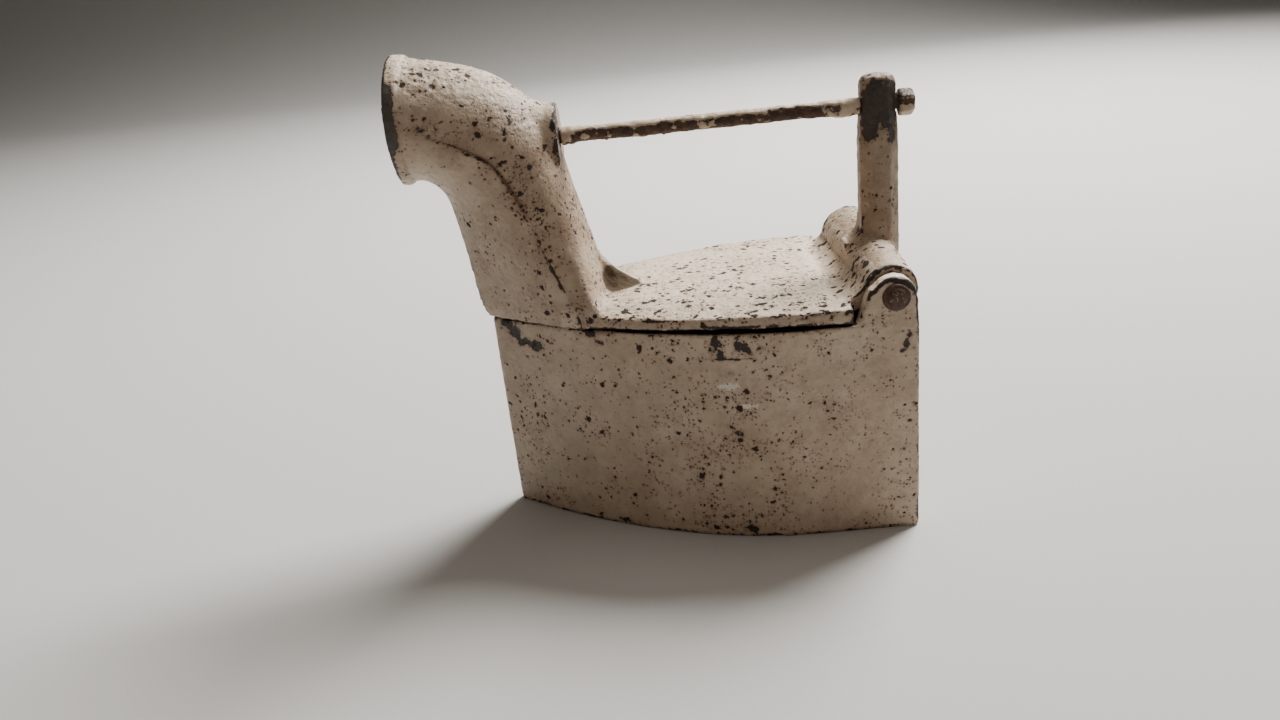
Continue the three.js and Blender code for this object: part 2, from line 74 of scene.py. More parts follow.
# Body, as in the CAD model
NOSE_X = BODY_LOW[0]
HEEL_X = BODY_HIGH[0]
HALF_WIDTH = BODY_HIGH[1]
HEEL_HALF_WIDTH = HALF_WIDTH - 0.5
SHOULDER_X = 42.0
BOW_POWER = 1.9
RIM_Z = 85.5
WALL = 5.0
SOLE_THICKNESS = 11.5
EAR_INNER_Y = 43.5
EAR_OUTER_Y = 50.3
EAR_RADIUS = 8.3
NOTCH_HALF_WIDTH = 8.5
NOTCH_Z = 79.0
DRAFT_RADIUS = 6.8
DRAFT_Z = 20.0
RIVET_BORE = 2.3
GAP = 0.3

# Hinge, post, bolt
HINGE_X = JOINTS["lid_hinge"]["pos_m"][0] / MM
HINGE_Z = JOINTS["lid_hinge"]["pos_m"][2] / MM
DAMPER_PIVOT_Z = JOINTS["damper_pivot"]["pos_m"][2] / MM
BARREL_RADIUS = 10.0
BARREL_FAR_RADIUS = 12.2
PIN_RADIUS = 3.0
POST_X = 78.5
POST_FLATS = 15.0
POST_TOP_Z = 168.3
POST_BASE_Z = 97.0
ROD_Z = (ROD_LOW[2] + ROD_HIGH[2]) / 2
ROD_RADIUS = 2.42
HEAD_THICKNESS = 2.4
LUG_BACK_X = -44.0
LUG_HALF_WIDTH = 11.0
LUG_BOTTOM_Z = 147.0
LUG_TOP_Z = 169.6
FLUE_WALL = 4.0

# Mesh resolution of the two castings
BODY_VOXEL = 0.9
LID_VOXEL = 0.75
HIDDEN_SHARE = 0.15  # of the faces kept where a casting's skin is inside the iron


# ---- Noise

def lattice(ix, iy, iz, seed):
    """A repeatable random number from -1 to 1 for every lattice point."""
    mixed = (ix * 73856093) ^ (iy * 19349663) ^ (iz * 83492791) ^ (seed * 2654435761)
    mixed = (mixed ^ (mixed >> 13)) & 0xFFFFFFFF
    mixed = (mixed * 1274126177) & 0xFFFFFFFF
    mixed = mixed ^ (mixed >> 16)
    return (mixed & 0xFFFF) / 32767.5 - 1.0


def value_noise(points, size, seed):
    """Smooth noise from -1 to 1 with lumps about size millimetres across."""
    cell = points / size + 1000.0
    base = np.floor(cell).astype(np.int64)
    part = cell - base
    part = part * part * part * (part * (part * 6 - 15) + 10)
    total = np.zeros(len(points))
    for corner in np.ndindex(2, 2, 2):
        weight_x, weight_y, weight_z = np.abs(1 - np.array(corner) - part).T
        total += weight_x * weight_y * weight_z * lattice(*(base + corner).T, seed)
    return total


def fractal(points, size, seed, octaves=3):
    """Noise of size millimetres with finer noise on top of it."""
    total = np.zeros(len(points))
    share = 1.0
    for octave in range(octaves):
        total += share * value_noise(points, size / 2**octave, seed + octave)
        share *= 0.5
    return total / 1.6


def rise(low, high, value):
    """0 up to low, 1 from high on, and a soft S between them."""
    t = np.clip((value - low) / (high - low), 0, 1)
    return t * t * (3 - 2 * t)


def bell(away, width):
    """1 where away is 0, and close to 0 two widths off."""
    return np.exp(-((away / width) ** 2))


# ---- Outlines

def arc_points(centre, radius, start, end, steps):
    """Points of an arc, with its ends in degrees."""
    angles = np.radians(np.linspace(start, end, steps))
    return np.column_stack([centre[0] + radius * np.cos(angles), centre[1] + radius * np.sin(angles)])


def rectangle(left, right, low, high):
    return np.array([[left, low], [right, low], [right, high], [left, high]])


def zx(points):
    """Anticlockwise (x, z) points as the anticlockwise (z, x) points that a prism along y takes."""
    return np.asarray(points, float)[::-1, ::-1]


def bezier(points, steps):
    t = np.linspace(0, 1, steps + 1)[:, None]
    a, b, c, d = (np.asarray(p, float) for p in points)
    return (1 - t) ** 3 * a + 3 * (1 - t) ** 2 * t * b + 3 * (1 - t) * t**2 * c + t**3 * d


def arch(start, corner, end, steps):
    """A curve from start to end that bends towards corner."""
    t = np.linspace(0, 1, steps + 1)[:, None]
    return (1 - t) ** 2 * start + 2 * (1 - t) * t * corner + t**2 * end


def mix(low, high, t):
    return low + (high - low) * min(max(t, 0), 1)


# ---- Mesh building

def new_object(name, points, faces):
    mesh = bpy.data.meshes.new(name)
    mesh.from_pydata([tuple(p) for p in np.asarray(points, float) * MM], [], faces)
    mesh.update()
    made = bpy.data.objects.new(name, mesh)
    bpy.context.scene.collection.objects.link(made)
    return made


# Where x, y and z are found in (across, up, along) when a solid is built along an axis
AXIS_ORDER = {"x": (2, 0, 1), "y": (1, 2, 0), "z": (0, 1, 2)}


def loft(name, rings):
    """A closed skin over rings of equal length, each anticlockwise when seen from the next ring."""
    count = len(rings[0])
    points = np.concatenate([np.asarray(ring, float) for ring in rings])
    faces = []
    for r in range(len(rings) - 1):
        for i in range(count):
            a = r * count + i
            b = r * count + (i + 1) % count
            faces.append((a, b, b + count, a + count))
    last = (len(rings) - 1) * count
    faces.append(tuple(reversed(range(count))))
    faces.append(tuple(range(last, last + count)))
    return new_object(name, points, faces)


def prism(name, outline, low, high, axis):
    """An anticlockwise 2D outline pushed along x, y or z. It holds (y, z), (z, x) or (x, y)."""
    rings = []
    for height in (low, high):
        flat = np.column_stack([outline, np.full(len(outline), height)])
        rings.append(flat[:, AXIS_ORDER[axis]])
    return loft(name, rings)


def turned(name, profile, axis, base, sides=48, turn=0):
    """A turned piece. profile holds (radius, height) from the bottom up, with no point on the axis."""
    angles = np.arange(sides) * 2 * math.pi / sides + turn
    rings = []
    for radius, height in profile:
        ring = np.column_stack([radius * np.cos(angles), radius * np.sin(angles), np.full(sides, height)])
        rings.append(ring[:, AXIS_ORDER[axis]] + np.asarray(base, float))
    return loft(name, rings)


def drill(radius, axis, base, length, sides=48):
    """A round tool for cutting a straight bore."""
    return turned("drill", [(radius, 0), (radius, length)], axis, base, sides)


def pin_drill():
    return drill(PIN_RADIUS + GAP, "y", (HINGE_X, -65, HINGE_Z), 130)


def apply_modifiers(made):
    graph = bpy.context.evaluated_depsgraph_get()
    mesh = bpy.data.meshes.new_from_object(made.evaluated_get(graph))
    old = made.data
    made.modifiers.clear()
    made.data = mesh
    bpy.data.meshes.remove(old)
    return made


def combine(base, tools, operation):
    """Joins the tools to base, or cuts them from it. A tool's object goes with its mesh."""
    for tool in tools:
        step = base.modifiers.new("combine", "BOOLEAN")
        step.operation = operation
        step.solver = "MANIFOLD"
        step.object = tool
        apply_modifiers(base)
        bpy.data.meshes.remove(tool.data)
    return base


def positions(made):
    co = np.empty(len(made.data.vertices) * 3)
    made.data.vertices.foreach_get("co", co)
    return co.reshape(-1, 3) / MM


def set_positions(made, points):
    made.data.vertices.foreach_set("co", (points * MM).ravel())
    made.data.update()


def normals(made):
    out = np.empty(len(made.data.vertices) * 3, np.float32)
    made.data.vertex_normals.foreach_get("vector", out)
    return out.reshape(-1, 3).astype(float)


class Skin:
    """A mesh's points with their neighbours, for smoothing and for finding edges and hollows."""

    def __init__(self, made):
        self.made = made
        edges = np.empty(len(made.data.edges) * 2, np.int32)
        made.data.edges.foreach_get("vertices", edges)
        self.a, self.b = edges.reshape(-1, 2).T
        self.count = len(made.data.vertices)
        self.degree = np.bincount(self.a, minlength=self.count) + np.bincount(self.b, minlength=self.count)

    def mean(self, values):
        if values.ndim == 2:
            return np.column_stack([self.mean(column) for column in values.T])
        total = np.bincount(self.a, values[self.b], self.count)
        total += np.bincount(self.b, values[self.a], self.count)
        return total / self.degree

    def smooth(self, times, pull=0.5, push=-0.53):
        """Evens out the skin without shrinking it."""
        points = positions(self.made)
        for _ in range(times):
            points += pull * (self.mean(points) - points)
            points += push * (self.mean(points) - points)
        set_positions(self.made, points)

    def relax(self, times, weight):
        """Shrinks the skin towards its neighbours where weight is high, which fills inner corners."""
        points = positions(self.made)
        for _ in range(times):
            points += np.reshape(weight, (-1, 1)) * (self.mean(points) - points)
        set_positions(self.made, points)

    def sharpness(self, passes=3):
        """Above 0 on outer edges, below 0 in inner corners, about 0 on flat skin."""
        points = positions(self.made)
        bend = -np.einsum("ij,ij->i", self.mean(points) - points, normals(self.made))
        for _ in range(passes):
            bend = 0.5 * bend + 0.5 * self.mean(bend)
        return bend


def even_out(made, voxel, times):
    """Turns a sharp cut-and-joined solid into an even skin with slightly rounded edges."""
    step = made.modifiers.new("even skin", "REMESH")
    step.mode = "VOXEL"
    step.voxel_size = voxel * MM
    skin = Skin(apply_modifiers(made))
    skin.smooth(times)
    return skin


def skin_tree(made):
    """A search tree over an object's faces, for finding the skin that it cut."""
    corners = [v.co.copy() for v in made.data.vertices]
    return BVHTree.FromPolygons(corners, [tuple(f.vertices) for f in made.data.polygons])


def cut_by(points, tree, reach=0.5):
    """True for the points that lie on the skin in the tree, reach in millimetres."""
    found = [tree.find_nearest(Vector(p), reach * MM)[0] is not None for p in points * MM]
    return np.array(found)


def thin_out(made, hidden, share):
    """Collapses the hidden part of a skin to the given share of its faces."""
    group = made.vertex_groups.new(name="hidden")
    group.add([int(i) for i in np.flatnonzero(hidden)], 1, "REPLACE")
    step = made.modifiers.new("thin out", "DECIMATE")
    step.vertex_group = "hidden"
    step.ratio = 1 - (1 - share) * float(np.mean(hidden))
    apply_modifiers(made)
    made.vertex_groups.clear()


def attribute(made, name, values, low=-4, high=4):
    """Stores one value for every point, or the same for all, where the material can read it."""
    layer = made.data.attributes.new(name, "FLOAT", "POINT")
    values = np.broadcast_to(np.clip(values, low, high), len(made.data.vertices))
    layer.data.foreach_set("value", values.astype(np.float32))


def shade_smooth(made):
    made.data.shade_smooth()
    return made


# ---- Body casting

def half_width(x):
    """Half the width of the boat-shaped plan at x."""
    bow = HALF_WIDTH * (1 - np.clip((SHOULDER_X - x) / (SHOULDER_X - NOSE_X), 0, 1) ** BOW_POWER)
    heel = np.clip((x - SHOULDER_X) / (HEEL_X - SHOULDER_X), 0, 1)
    return bow - (HALF_WIDTH - HEEL_HALF_WIDTH) * heel


def boat_outline(inset, steps=60):
    """The boat-shaped plan, anticlockwise from above, moved inwards by inset."""
    x = NOSE_X + (SHOULDER_X - NOSE_X) * (np.arange(steps + 1) / steps) ** 1.4
    slope = (half_width(x + 0.01) - half_width(x)) / 0.01
    length = np.hypot(1, slope)
    side = np.column_stack([x + inset * slope / length, half_width(x) - inset / length])
    narrowest, lean, corner = (0.9, 0.35, 1.6) if inset == 0 else (1.5, 0.6, 4)
    side = side[side[:, 1] > narrowest]
    tip = [side[0, 0] - side[0, 1] * lean, 0]
    centre = (HEEL_X - inset - corner, HEEL_HALF_WIDTH - inset - corner)
    far_corner = arc_points(centre, corner, 0, 90, 6)
    near_corner = far_corner[::-1] * [1, -1]
    return np.concatenate([[tip], side * [1, -1], near_corner, far_corner, side[::-1]])


def ear_outline():
    top = arc_points((HINGE_X - 0.4, HINGE_Z - 0.8), EAR_RADIUS, 146, 20, 16)
    front = [[60, RIM_Z - 6], [60.2, RIM_Z], [61.2, 88.5], [62.5, 93.5], [64.6, 98]]
    back = [[HEEL_X - 0.2, HINGE_Z - 3], [HEEL_X, RIM_Z], [HEEL_X, RIM_Z - 6]]
    return np.concatenate([front, top, back])


def body_shape():
    block = prism("painted_body", boat_outline(0), 0, RIM_Z, "z")
    chamber = prism("chamber", boat_outline(WALL), SOLE_THICKNESS, RIM_Z + 5, "z")
    hollow = skin_tree(chamber)
    combine(block, [chamber], "DIFFERENCE")
    outline = ear_outline()[:, ::-1]
    near_ear = prism("near_ear", outline, -EAR_OUTER_Y, -EAR_INNER_Y, "y")
    far_ear = prism("far_ear", outline, EAR_INNER_Y, EAR_OUTER_Y, "y")
    combine(block, [near_ear, far_ear] + ledges(), "UNION")
    room = [(BARREL_RADIUS + 0.7, 0), (BARREL_FAR_RADIUS + 0.7, 2 * EAR_INNER_Y)]
    notch = rectangle(-NOTCH_HALF_WIDTH, NOTCH_HALF_WIDTH, NOTCH_Z, RIM_Z + 1)
    inside_heel = HEEL_X - 2 * WALL
    cuts = [
        turned("barrel_room", room, "y", (HINGE_X, -EAR_INNER_Y, HINGE_Z)),
        prism("notch", notch, inside_heel, HEEL_X + 2, "x"),
        pin_drill(),
        drill(DRAFT_RADIUS, "x", (inside_heel, 0, DRAFT_Z), 15),
        drill(RIVET_BORE, "x", (inside_heel, 0, DAMPER_PIVOT_Z), 15),
    ]
    return combine(block, cuts, "DIFFERENCE"), hollow


def ledges():
    """The six ledges that the grate rests on."""
    top = GRATE_LOW[2] - GAP
    made = []
    for x in (-38, 12, 58):
        for side in (-1, 1):
            wall = half_width(x) - WALL / 2
            inner = half_width(x) - WALL - 5
            low, high = sorted((side * wall, side * inner))
            made.append(prism("ledge", rectangle(x, x + 12, low, high), top - 6, top, "z"))
    return made


# ---- Chimney

# Stations up the flue: front and back (x, z) on the middle plane, how far from front to back the crease
# lies, half the width there, and 0 for the pointed bow to 1 for a true circle. They are those of the CAD
# model, apart from the crease's place and the back of the foot, which follow the photo more closely.
STATIONS = np.array([
    [-82.5, 85.8, -28, 85.8, 0.76, 27.4, 0],
    [-84.7, 90, -28.5, 92.5, 0.755, 27, 0.02],
    [-85.7, 95, -31, 97.5, 0.76, 25.8, 0.06],
    [-86.6, 102, -33.2, 104.5, 0.735, 24.8, 0.14],
    [-88, 116, -36.3, 118, 0.685, 23.2, 0.3],
    [-90.5, 132.6, -40.6, 135, 0.632, 22.4, 0.5],
    [-92, 138.1, -43.6, 150, 0.58, 22.6, 0.62],
    [-94.2, 142, -48, 164, 0.53, 22.9, 0.74],
    [-96.8, 144.3, -56, 174, 0.475, 23.2, 0.84],
    [-99.4, 145.2, -68.5, 183, 0.45, 23.5, 0.93],
    [-101.6, 145.2, -85, 188.5, 0.47, 23.7, 0.98],
    [-103, 144.8, -97.6, 191.1, 0.5, 23.9, 1],
    [-103.4, 143.9, -99.3, 192.4, 0.5, 24.5, 1],
    [-106, 143.7, -104.5, 192.9, 0.5, 24.6, 1],
])
STEP = 1.5  # how far the cowl stands proud at the crease
CIRCLE_PULL = 0.5523  # the pull of a cubic curve's handles that makes a quarter circle
SKIN_STEPS = 20  # points along each half of a section of the outer skin


def spline(table, position):
    """A smooth curve through the rows of table, at a row number that needn't be whole."""
    i = int(min(max(math.floor(position), 0), len(table) - 2))
    t = position - i
    before = table[max(i - 1, 0)]
    after = table[min(i + 2, len(table) - 1)]
    start, end = table[i], table[i + 1]
    return 0.5 * (
        2 * start
        + (end - before) * t
        + (2 * before - 5 * start + 4 * end - after) * t**2
        + (3 * start - before - 3 * end + after) * t**3
    )


def rounded_turn(start, corner, end, steps):
    """A path from start to end that turns at corner on a soft curve, in even steps of its parameter."""
    before = corner + (start - corner) * 0.45
    after = corner + (end - corner) * 0.22
    third = steps // 3
    first = np.linspace(start, before, third + 1)[:-1]
    last = np.linspace(after, end, third + 1)[1:]
    return np.concatenate([first, arch(before, corner, after, steps - 2 * third), last])


def section(row, inset, step, steps):
    """One closed section of the chimney. step is the cowl's height at the crease."""
    front, back = row[0:2], row[2:4]
    side, half, full = row[4], row[5] - inset, min(row[6], 1)
    outer = np.linalg.norm(back - front)
    axis = (back - front) / outer
    start = front + axis * inset * mix(1.7, 1, full)
    reach = np.linalg.norm(back - start) - inset
    widest = min(max(outer * side - np.linalg.norm(start - front), 0), reach)
    bow = math.radians(mix(38, 90, full * 1.3))
    flare = math.radians(mix(27, 0, full * 1.5))
    pull = mix(widest * 0.34, half * CIRCLE_PULL, full)
    ease = mix(widest * 0.34, widest * CIRCLE_PULL, full)
    rear = reach - widest
    turn = mix(rear * 0.42, rear * CIRCLE_PULL, full)
    flat = mix(half * 0.62, half * CIRCLE_PULL, full)
    crease = np.array([widest, half])
    proud = step * np.array([-math.sin(flare), math.cos(flare)])
    along = np.array([math.cos(flare), math.sin(flare)])
    nose = (pull * math.cos(bow), pull * math.sin(bow))
    ahead = bezier([(0, 0), nose, crease - ease * along + proud, crease + proud], steps)
    round_back = bezier([crease, crease + turn * along * [1, 0.3], (reach, flat), (reach, 0)], steps)
    corner = np.array([max(reach - 5.5, widest + 2), half * mix(1.18, 0.85, full / 0.3)])
    square_back = rounded_turn(crease, corner, np.array([reach, 0]), steps)
    behind = square_back + (round_back - square_back) * mix(0, 1, (full - 0.3) / 0.45)
    skin = np.concatenate([ahead, behind if step > 0 else behind[1:]])
    near = np.column_stack([start[0] + axis[0] * skin[:, 0], -skin[:, 1], start[1] + axis[1] * skin[:, 0]])
    far = near[1:-1][::-1] * [1, -1, 1]
    return np.concatenate([near, far])


def chimney_rings(inset, per_station, steps):
    rings = []
    last = len(STATIONS) - 1
    for k in range(last * per_station + 1):
        row = spline(STATIONS, k / per_station)
        step = 0.0 if inset else 0.05 + STEP * (1 - float(rise(0.8, 0.96, row[6])))
        rings.append(section(row, inset, step, steps))
    return rings


def chimney_skin():
    return chimney_rings(0, 6, SKIN_STEPS)


def flue_hollow():
    rings = chimney_rings(FLUE_WALL, 5, 16)
    below = rings[0] * [1, 1, 0] + [0, 0, RIM_Z - 8]
    mouth = rings[-1] + [-8, 0, 0]
    return loft("flue", [below] + rings + [mouth])


# ---- Lid casting

PLATE_FRONT_X = -62.0
PLATE_BACK_X = 58.7
PLATE_CROWN_Z = 95.0
PLATE_GAP = [
    (-62, 0.3), (-46, 0.4), (-38, 0.8), (-20, 1.2), (-8, 1.5), (2, 2), (12, 2.3), (30, 2.2), (42, 1.5),
    (59, 0.7),
]
PLATE_EDGE = [(-62, 91), (-33, 91.2), (-14, 91.4), (4, 91.8), (17, 92.4), (59, 92.3)]
PLATE_TILT = 1.7


def plate_ring(x):
    w = half_width(x) - 0.2
    bottom = RIM_Z + np.interp(x, *np.transpose(PLATE_GAP))
    edge = np.interp(x, *np.transpose(PLATE_EDGE))
    crown = PLATE_CROWN_Z - 0.06 * max(0, x - 40)
    dip = 1.1 * rise(49, 56, x)

    def side(sign):
        rim = min(crown, edge + PLATE_TILT) if sign > 0 else edge
        profile = [(w, bottom), (w + 0.1, bottom + 1.5)]
        profile += [(w, rim - 0.8), (w - 0.3, rim - 0.25), (w - 1.1, rim)]
        for share, lift in ((0.86, 0.25), (0.75, 0.55), (0.55, 0.82), (0.3, 0.96)):
            profile.append((w * share, rim + (crown - dip - rim) * lift))
        return [(x, sign * y, z) for y, z in profile]

    return np.array(side(1) + [(x, 0, crown - dip)] + side(-1)[::-1])


def web_outline():
    """The sweep from the plate up into the barrel, in (x, z)."""
    top = np.array([HINGE_X - 8.4, HINGE_Z + 5.2])
    hollow = np.array([HINGE_X - 12, 94.6])
    toe = np.array([57, 93.2])
    under = [[50, 88.6], [HINGE_X, 88.6], [HINGE_X, HINGE_Z + 5]]
    return np.concatenate([under, arch(top, hollow, toe, 11), [[50, 92.6]]])


def lug_shape():
    """The round-topped lug behind the elbow, flared where it runs into the chimney."""
    shoulder = LUG_TOP_Z - LUG_HALF_WIDTH
    top = arc_points((0, 0), LUG_HALF_WIDTH, 0, 180, 24)
    bottom = LUG_BOTTOM_Z - shoulder
    outline = np.concatenate([[[-LUG_HALF_WIDTH, bottom], [LUG_HALF_WIDTH, bottom]], top])
    rings = []
    for x, wide in ((-62, 1.5), (-55, 1.3), (-51.5, 1.12), (-49, 1.02), (-47, 1), (LUG_BACK_X, 1)):
        flat = outline * wide + [0, shoulder]
        rings.append(np.column_stack([np.full(len(flat), float(x)), flat]))
    return loft("lug", rings)


def post_shape():
    """The eight-sided post, with the fillet between its front and the barrel."""
    radius = POST_FLATS / 2 / math.cos(math.pi / 8)
    height = POST_TOP_Z - POST_BASE_Z
    profile = [(radius, 0), (radius, height - 24)]
    for share, below_top in ((0.93, 14), (0.92, 4.2), (0.88, 2.6), (0.76, 1.1), (0.55, 0.3), (0.3, 0)):
        profile.append((radius * share, height - below_top))
    post = turned("post", profile, "z", (POST_X, 0, POST_BASE_Z), 8, math.pi / 8)
    front = POST_X - POST_FLATS / 2
    start = (front, HINGE_Z + 19)
    curve = bezier([start, (front, HINGE_Z + 13), (front - 2, HINGE_Z + 9.5), (front - 7, HINGE_Z + 8)], 8)
    inside = [[front + 3, POST_BASE_Z], [front + 3, HINGE_Z + 19]]
    fillet = np.concatenate([inside, curve, [[front - 7, POST_BASE_Z]]])
    return [post, prism("post_foot", zx(fillet), -5.6, 5.6, "y")]


def rib(side):
    """A rib under the plate that keeps the lid from sliding off the rim, at y side 1 or -1."""
    rings = []
    for x in np.linspace(-20, 54, 10):
        slope = (half_width(x + 0.01) - half_width(x)) / 0.01
        outer = half_width(x) - 6.2 * math.hypot(1, slope)
        low, high = sorted((side * outer, side * (outer - 2.5)))
        rings.append([(x, y, z) for y, z in rectangle(low, high, 82.5, 90.5)])
    return loft("rib", rings)


def gusset():
    """The rib that braces the back of the chimney against the plate, spread out at its foot."""
    crest = [(-38, 118), (-35.5, 111.5), (-33.4, 107.2), (-30.5, 103.8), (-27.2, 100.8), (-22, 97.2)]
    crest += [(-16.5, 94.6), (-11, 92.4)]
    rings = []
    for k, (x, z) in enumerate(crest):
        foot = mix(8, 11, k / 4) if k < 5 else mix(11, 4.5, (k - 4) / 3)
        low = min(94.4, z - 1.5)
        drop = z - 0.5 - low
        half = [(1.6, z), (2.4, z - 0.5), (max(0.42 * foot, 2.8), z - 0.5 - 0.45 * drop)]
        half += [(max(0.72 * foot, 3.6), z - 0.5 - 0.84 * drop), (foot, low), (foot, 88)]
        rings.append([(x, -y, h) for y, h in half] + [(x, y, h) for y, h in half[::-1]])
    return loft("gusset", rings)


def lid_shape():
    plate = loft("painted_lid", [plate_ring(x) for x in np.linspace(PLATE_FRONT_X, PLATE_BACK_X, 60)])
    reach = EAR_INNER_Y - GAP
    profile = [(BARREL_RADIUS - 0.8, 0), (BARREL_RADIUS, 0.8)]
    profile += [(BARREL_FAR_RADIUS, 2 * reach - 0.8), (BARREL_FAR_RADIUS - 0.8, 2 * reach)]
    barrel = turned("barrel", profile, "y", (HINGE_X, -reach, HINGE_Z), 72)
    web = prism("web", zx(web_outline()), -reach, reach, "y")
    lug = lug_shape()
    chimney = loft("chimney", chimney_skin())
    combine(plate, [web, barrel, *post_shape(), chimney, gusset(), lug, rib(-1), rib(1)], "UNION")
    flue = flue_hollow()
    hollow = skin_tree(flue)
    rod_drill = drill(2.8, "x", (ROD_LOW[0], 0, ROD_Z), 160)
    head_room = drill(4.9, "x", (ROD_LOW[0] - 9.3, 0, ROD_Z), 12)
    return combine(plate, [flue, rod_drill, head_room, pin_drill()], "DIFFERENCE"), hollow


# ---- Wear and painted shade

NOWHERE = -4.0  # the value of a mark far from any worn place
CHIP_DEPTH = 0.16  # of bare iron below the paint, in millimetres


def patches(points, spots):
    """Above 0 inside the listed bare spots. A spot is a centre x, y, z and its reach along x, y and z."""
    best = np.full(len(points), NOWHERE)
    for spot in spots:
        centre, reach = np.array(spot[:3]), np.array(spot[3:])
        away = np.linalg.norm((points - centre) / reach, axis=1)
        best = np.maximum(best, (1 - away) * (0.4 + 0.45 * min(reach)))
    return best


def finish_casting(made, voxel, low, high, lump, wear, hollow=None):
    """Lumps and wears a casting, and leaves its marks and its painted shade as attributes for the paint.

    wear gives the marks, painted shade among them, for points and normals. hollow is the skin of the hollow
    inside, if it has one.
    """
    skin = even_out(made, voxel, 4)
    inner_corner = rise(0.01, 0.06, -skin.sharpness(2))
    skin.relax(16, 0.45 * inner_corner)
    points = positions(made)
    facing = normals(made)
    bend = skin.sharpness() / voxel
    marks = {
        "spots": NOWHERE, "scuffs": NOWHERE, "edge": 1, "crust": 1, "dirt_and_shade": 0, "painted_shade": 0,
        "polish": 0, "soot_and_gap_shade": 0, "hidden": np.zeros(len(points), bool), **wear(points, facing, hollow),
    }
    edges = (bend - 0.06) * 30 + 1.5 * fractal(points, 5, 91) - 0.45
    ragged = fractal(points, 2.6, 71)
    worn_edges = np.minimum(edges, 0.9) * marks["edge"] - (1 - marks["edge"])
    bare = np.maximum(marks["spots"] + 0.7 * ragged, worn_edges)
    moved = lump * fractal(points, 26, 11) + 0.3 * lump * fractal(points, 6, 31, 2)
    moved += 0.6 * lump * marks["crust"] * fractal(points, 2.8, 131, 2)
    moved -= CHIP_DEPTH * rise(-0.2, 0.5, bare)
    moved -= 0.5 * rise(0.03, 0.09, bend) * np.clip(fractal(points, 5, 51, 2), 0, 1)
    points = np.clip(points + facing * moved[:, None], low, high)
    set_positions(made, points)
    # browner in inner corners and in loose patches as grimy paint, and browner on upright faces as painted
    # shade; the marks add more
    grime_and_side_shade = rise(0.008, 0.06, -bend) + 0.12 * rise(0.1, 0.9, fractal(points, 30, 111))
    grime_and_side_shade += 0.7 * (1 - np.abs(facing[:, 2])) ** 0.7 + marks["dirt_and_shade"]
    attribute(made, "bare", bare)
    attribute(made, "scuffed", marks["scuffs"] + 0.5 * ragged)
    attribute(made, "grime_and_side_shade", grime_and_side_shade, 0, 1)
    for name, most in (("pitted", 2), ("chipped", 2), ("polish", 1), ("painted_shade", 1), ("soot_and_gap_shade", 1)):
        attribute(made, name, marks[name], 0, most)
    thin_out(made, marks["hidden"], HIDDEN_SHARE)
    return shade_smooth(made)


# Where paint is gone: the centre x, y, z of each spot and its reach along x, y and z
BODY_SPOTS = [
    # bow
    (-74.8, -9, 84.5, 3, 12, 3.4), (-71.6, -11, 80.4, 2.6, 12, 4), (-67.6, -15, 77, 3.6, 12, 2),
    (-63.4, -18, 76, 2.8, 12, 2.6), (-45, -29, 85.6, 4.5, 6, 1.2), (-40.5, -30, 84.8, 4.4, 6, 2.2),
    (-35.6, -33, 81, 1.6, 5, 1),
    # near side and heel corner
    (8, -45, 82.6, 1.3, 8, 3.6), (9.6, -45, 79, 1.3, 8, 2.8), (6, -45, 80, 0.7, 8, 1),
    (16.2, -47, 82, 1.4, 8, 2.6), (19, -47, 80, 1.7, 8, 2.4), (23.8, -48, 80.2, 1.4, 8, 0.9),
    (12.6, -47, 76.2, 6.4, 8, 0.35), (13.5, -47, 70.3, 0.9, 8, 0.7), (20.7, -47, 70.8, 0.8, 8, 0.7),
    (27.4, -48, 69, 0.8, 8, 0.7), (13.6, -47, 46, 1.7, 8, 1.3), (11.6, -47, 48, 1.3, 8, 0.9),
    (15.4, -47, 44.9, 1, 8, 0.8), (16.6, -47, 3.6, 2.4, 8, 2), (-34, -32, 2, 2.4, 8, 1.2),
    (77.4, -50, 77.5, 0.9, 5, 1.8), (78.6, -50, 80.5, 0.9, 5, 1), (76.2, -50, 74.6, 0.7, 5, 0.7),
    (78.6, -50, 46, 0.8, 5, 0.6),
    # far side
    (-77, 9, 30, 2.4, 8, 2.2), (-76, 10, 24.5, 2, 8, 1.4), (20, 48, 60, 2.2, 8, 1.1),
    (24.5, 48, 58.4, 1.2, 8, 0.8), (-14, 43, 84.5, 3.4, 8, 1.2), (-7, 43, 83.6, 2, 8, 1.4),
    (45, 51, 20, 1.5, 6, 1.2),
    # heel
    (HEEL_X, 26, 71, 5, 2.2, 1.4), (HEEL_X, 21.5, 69.4, 5, 1.2, 2), (HEEL_X, -30, 28, 5, 1.6, 1.2),
]
BODY_SCUFFS = [(11.8, -46, 64.8, 5.4, 8, 2.2), (19, -48, 57, 4.4, 8, 1.2)]
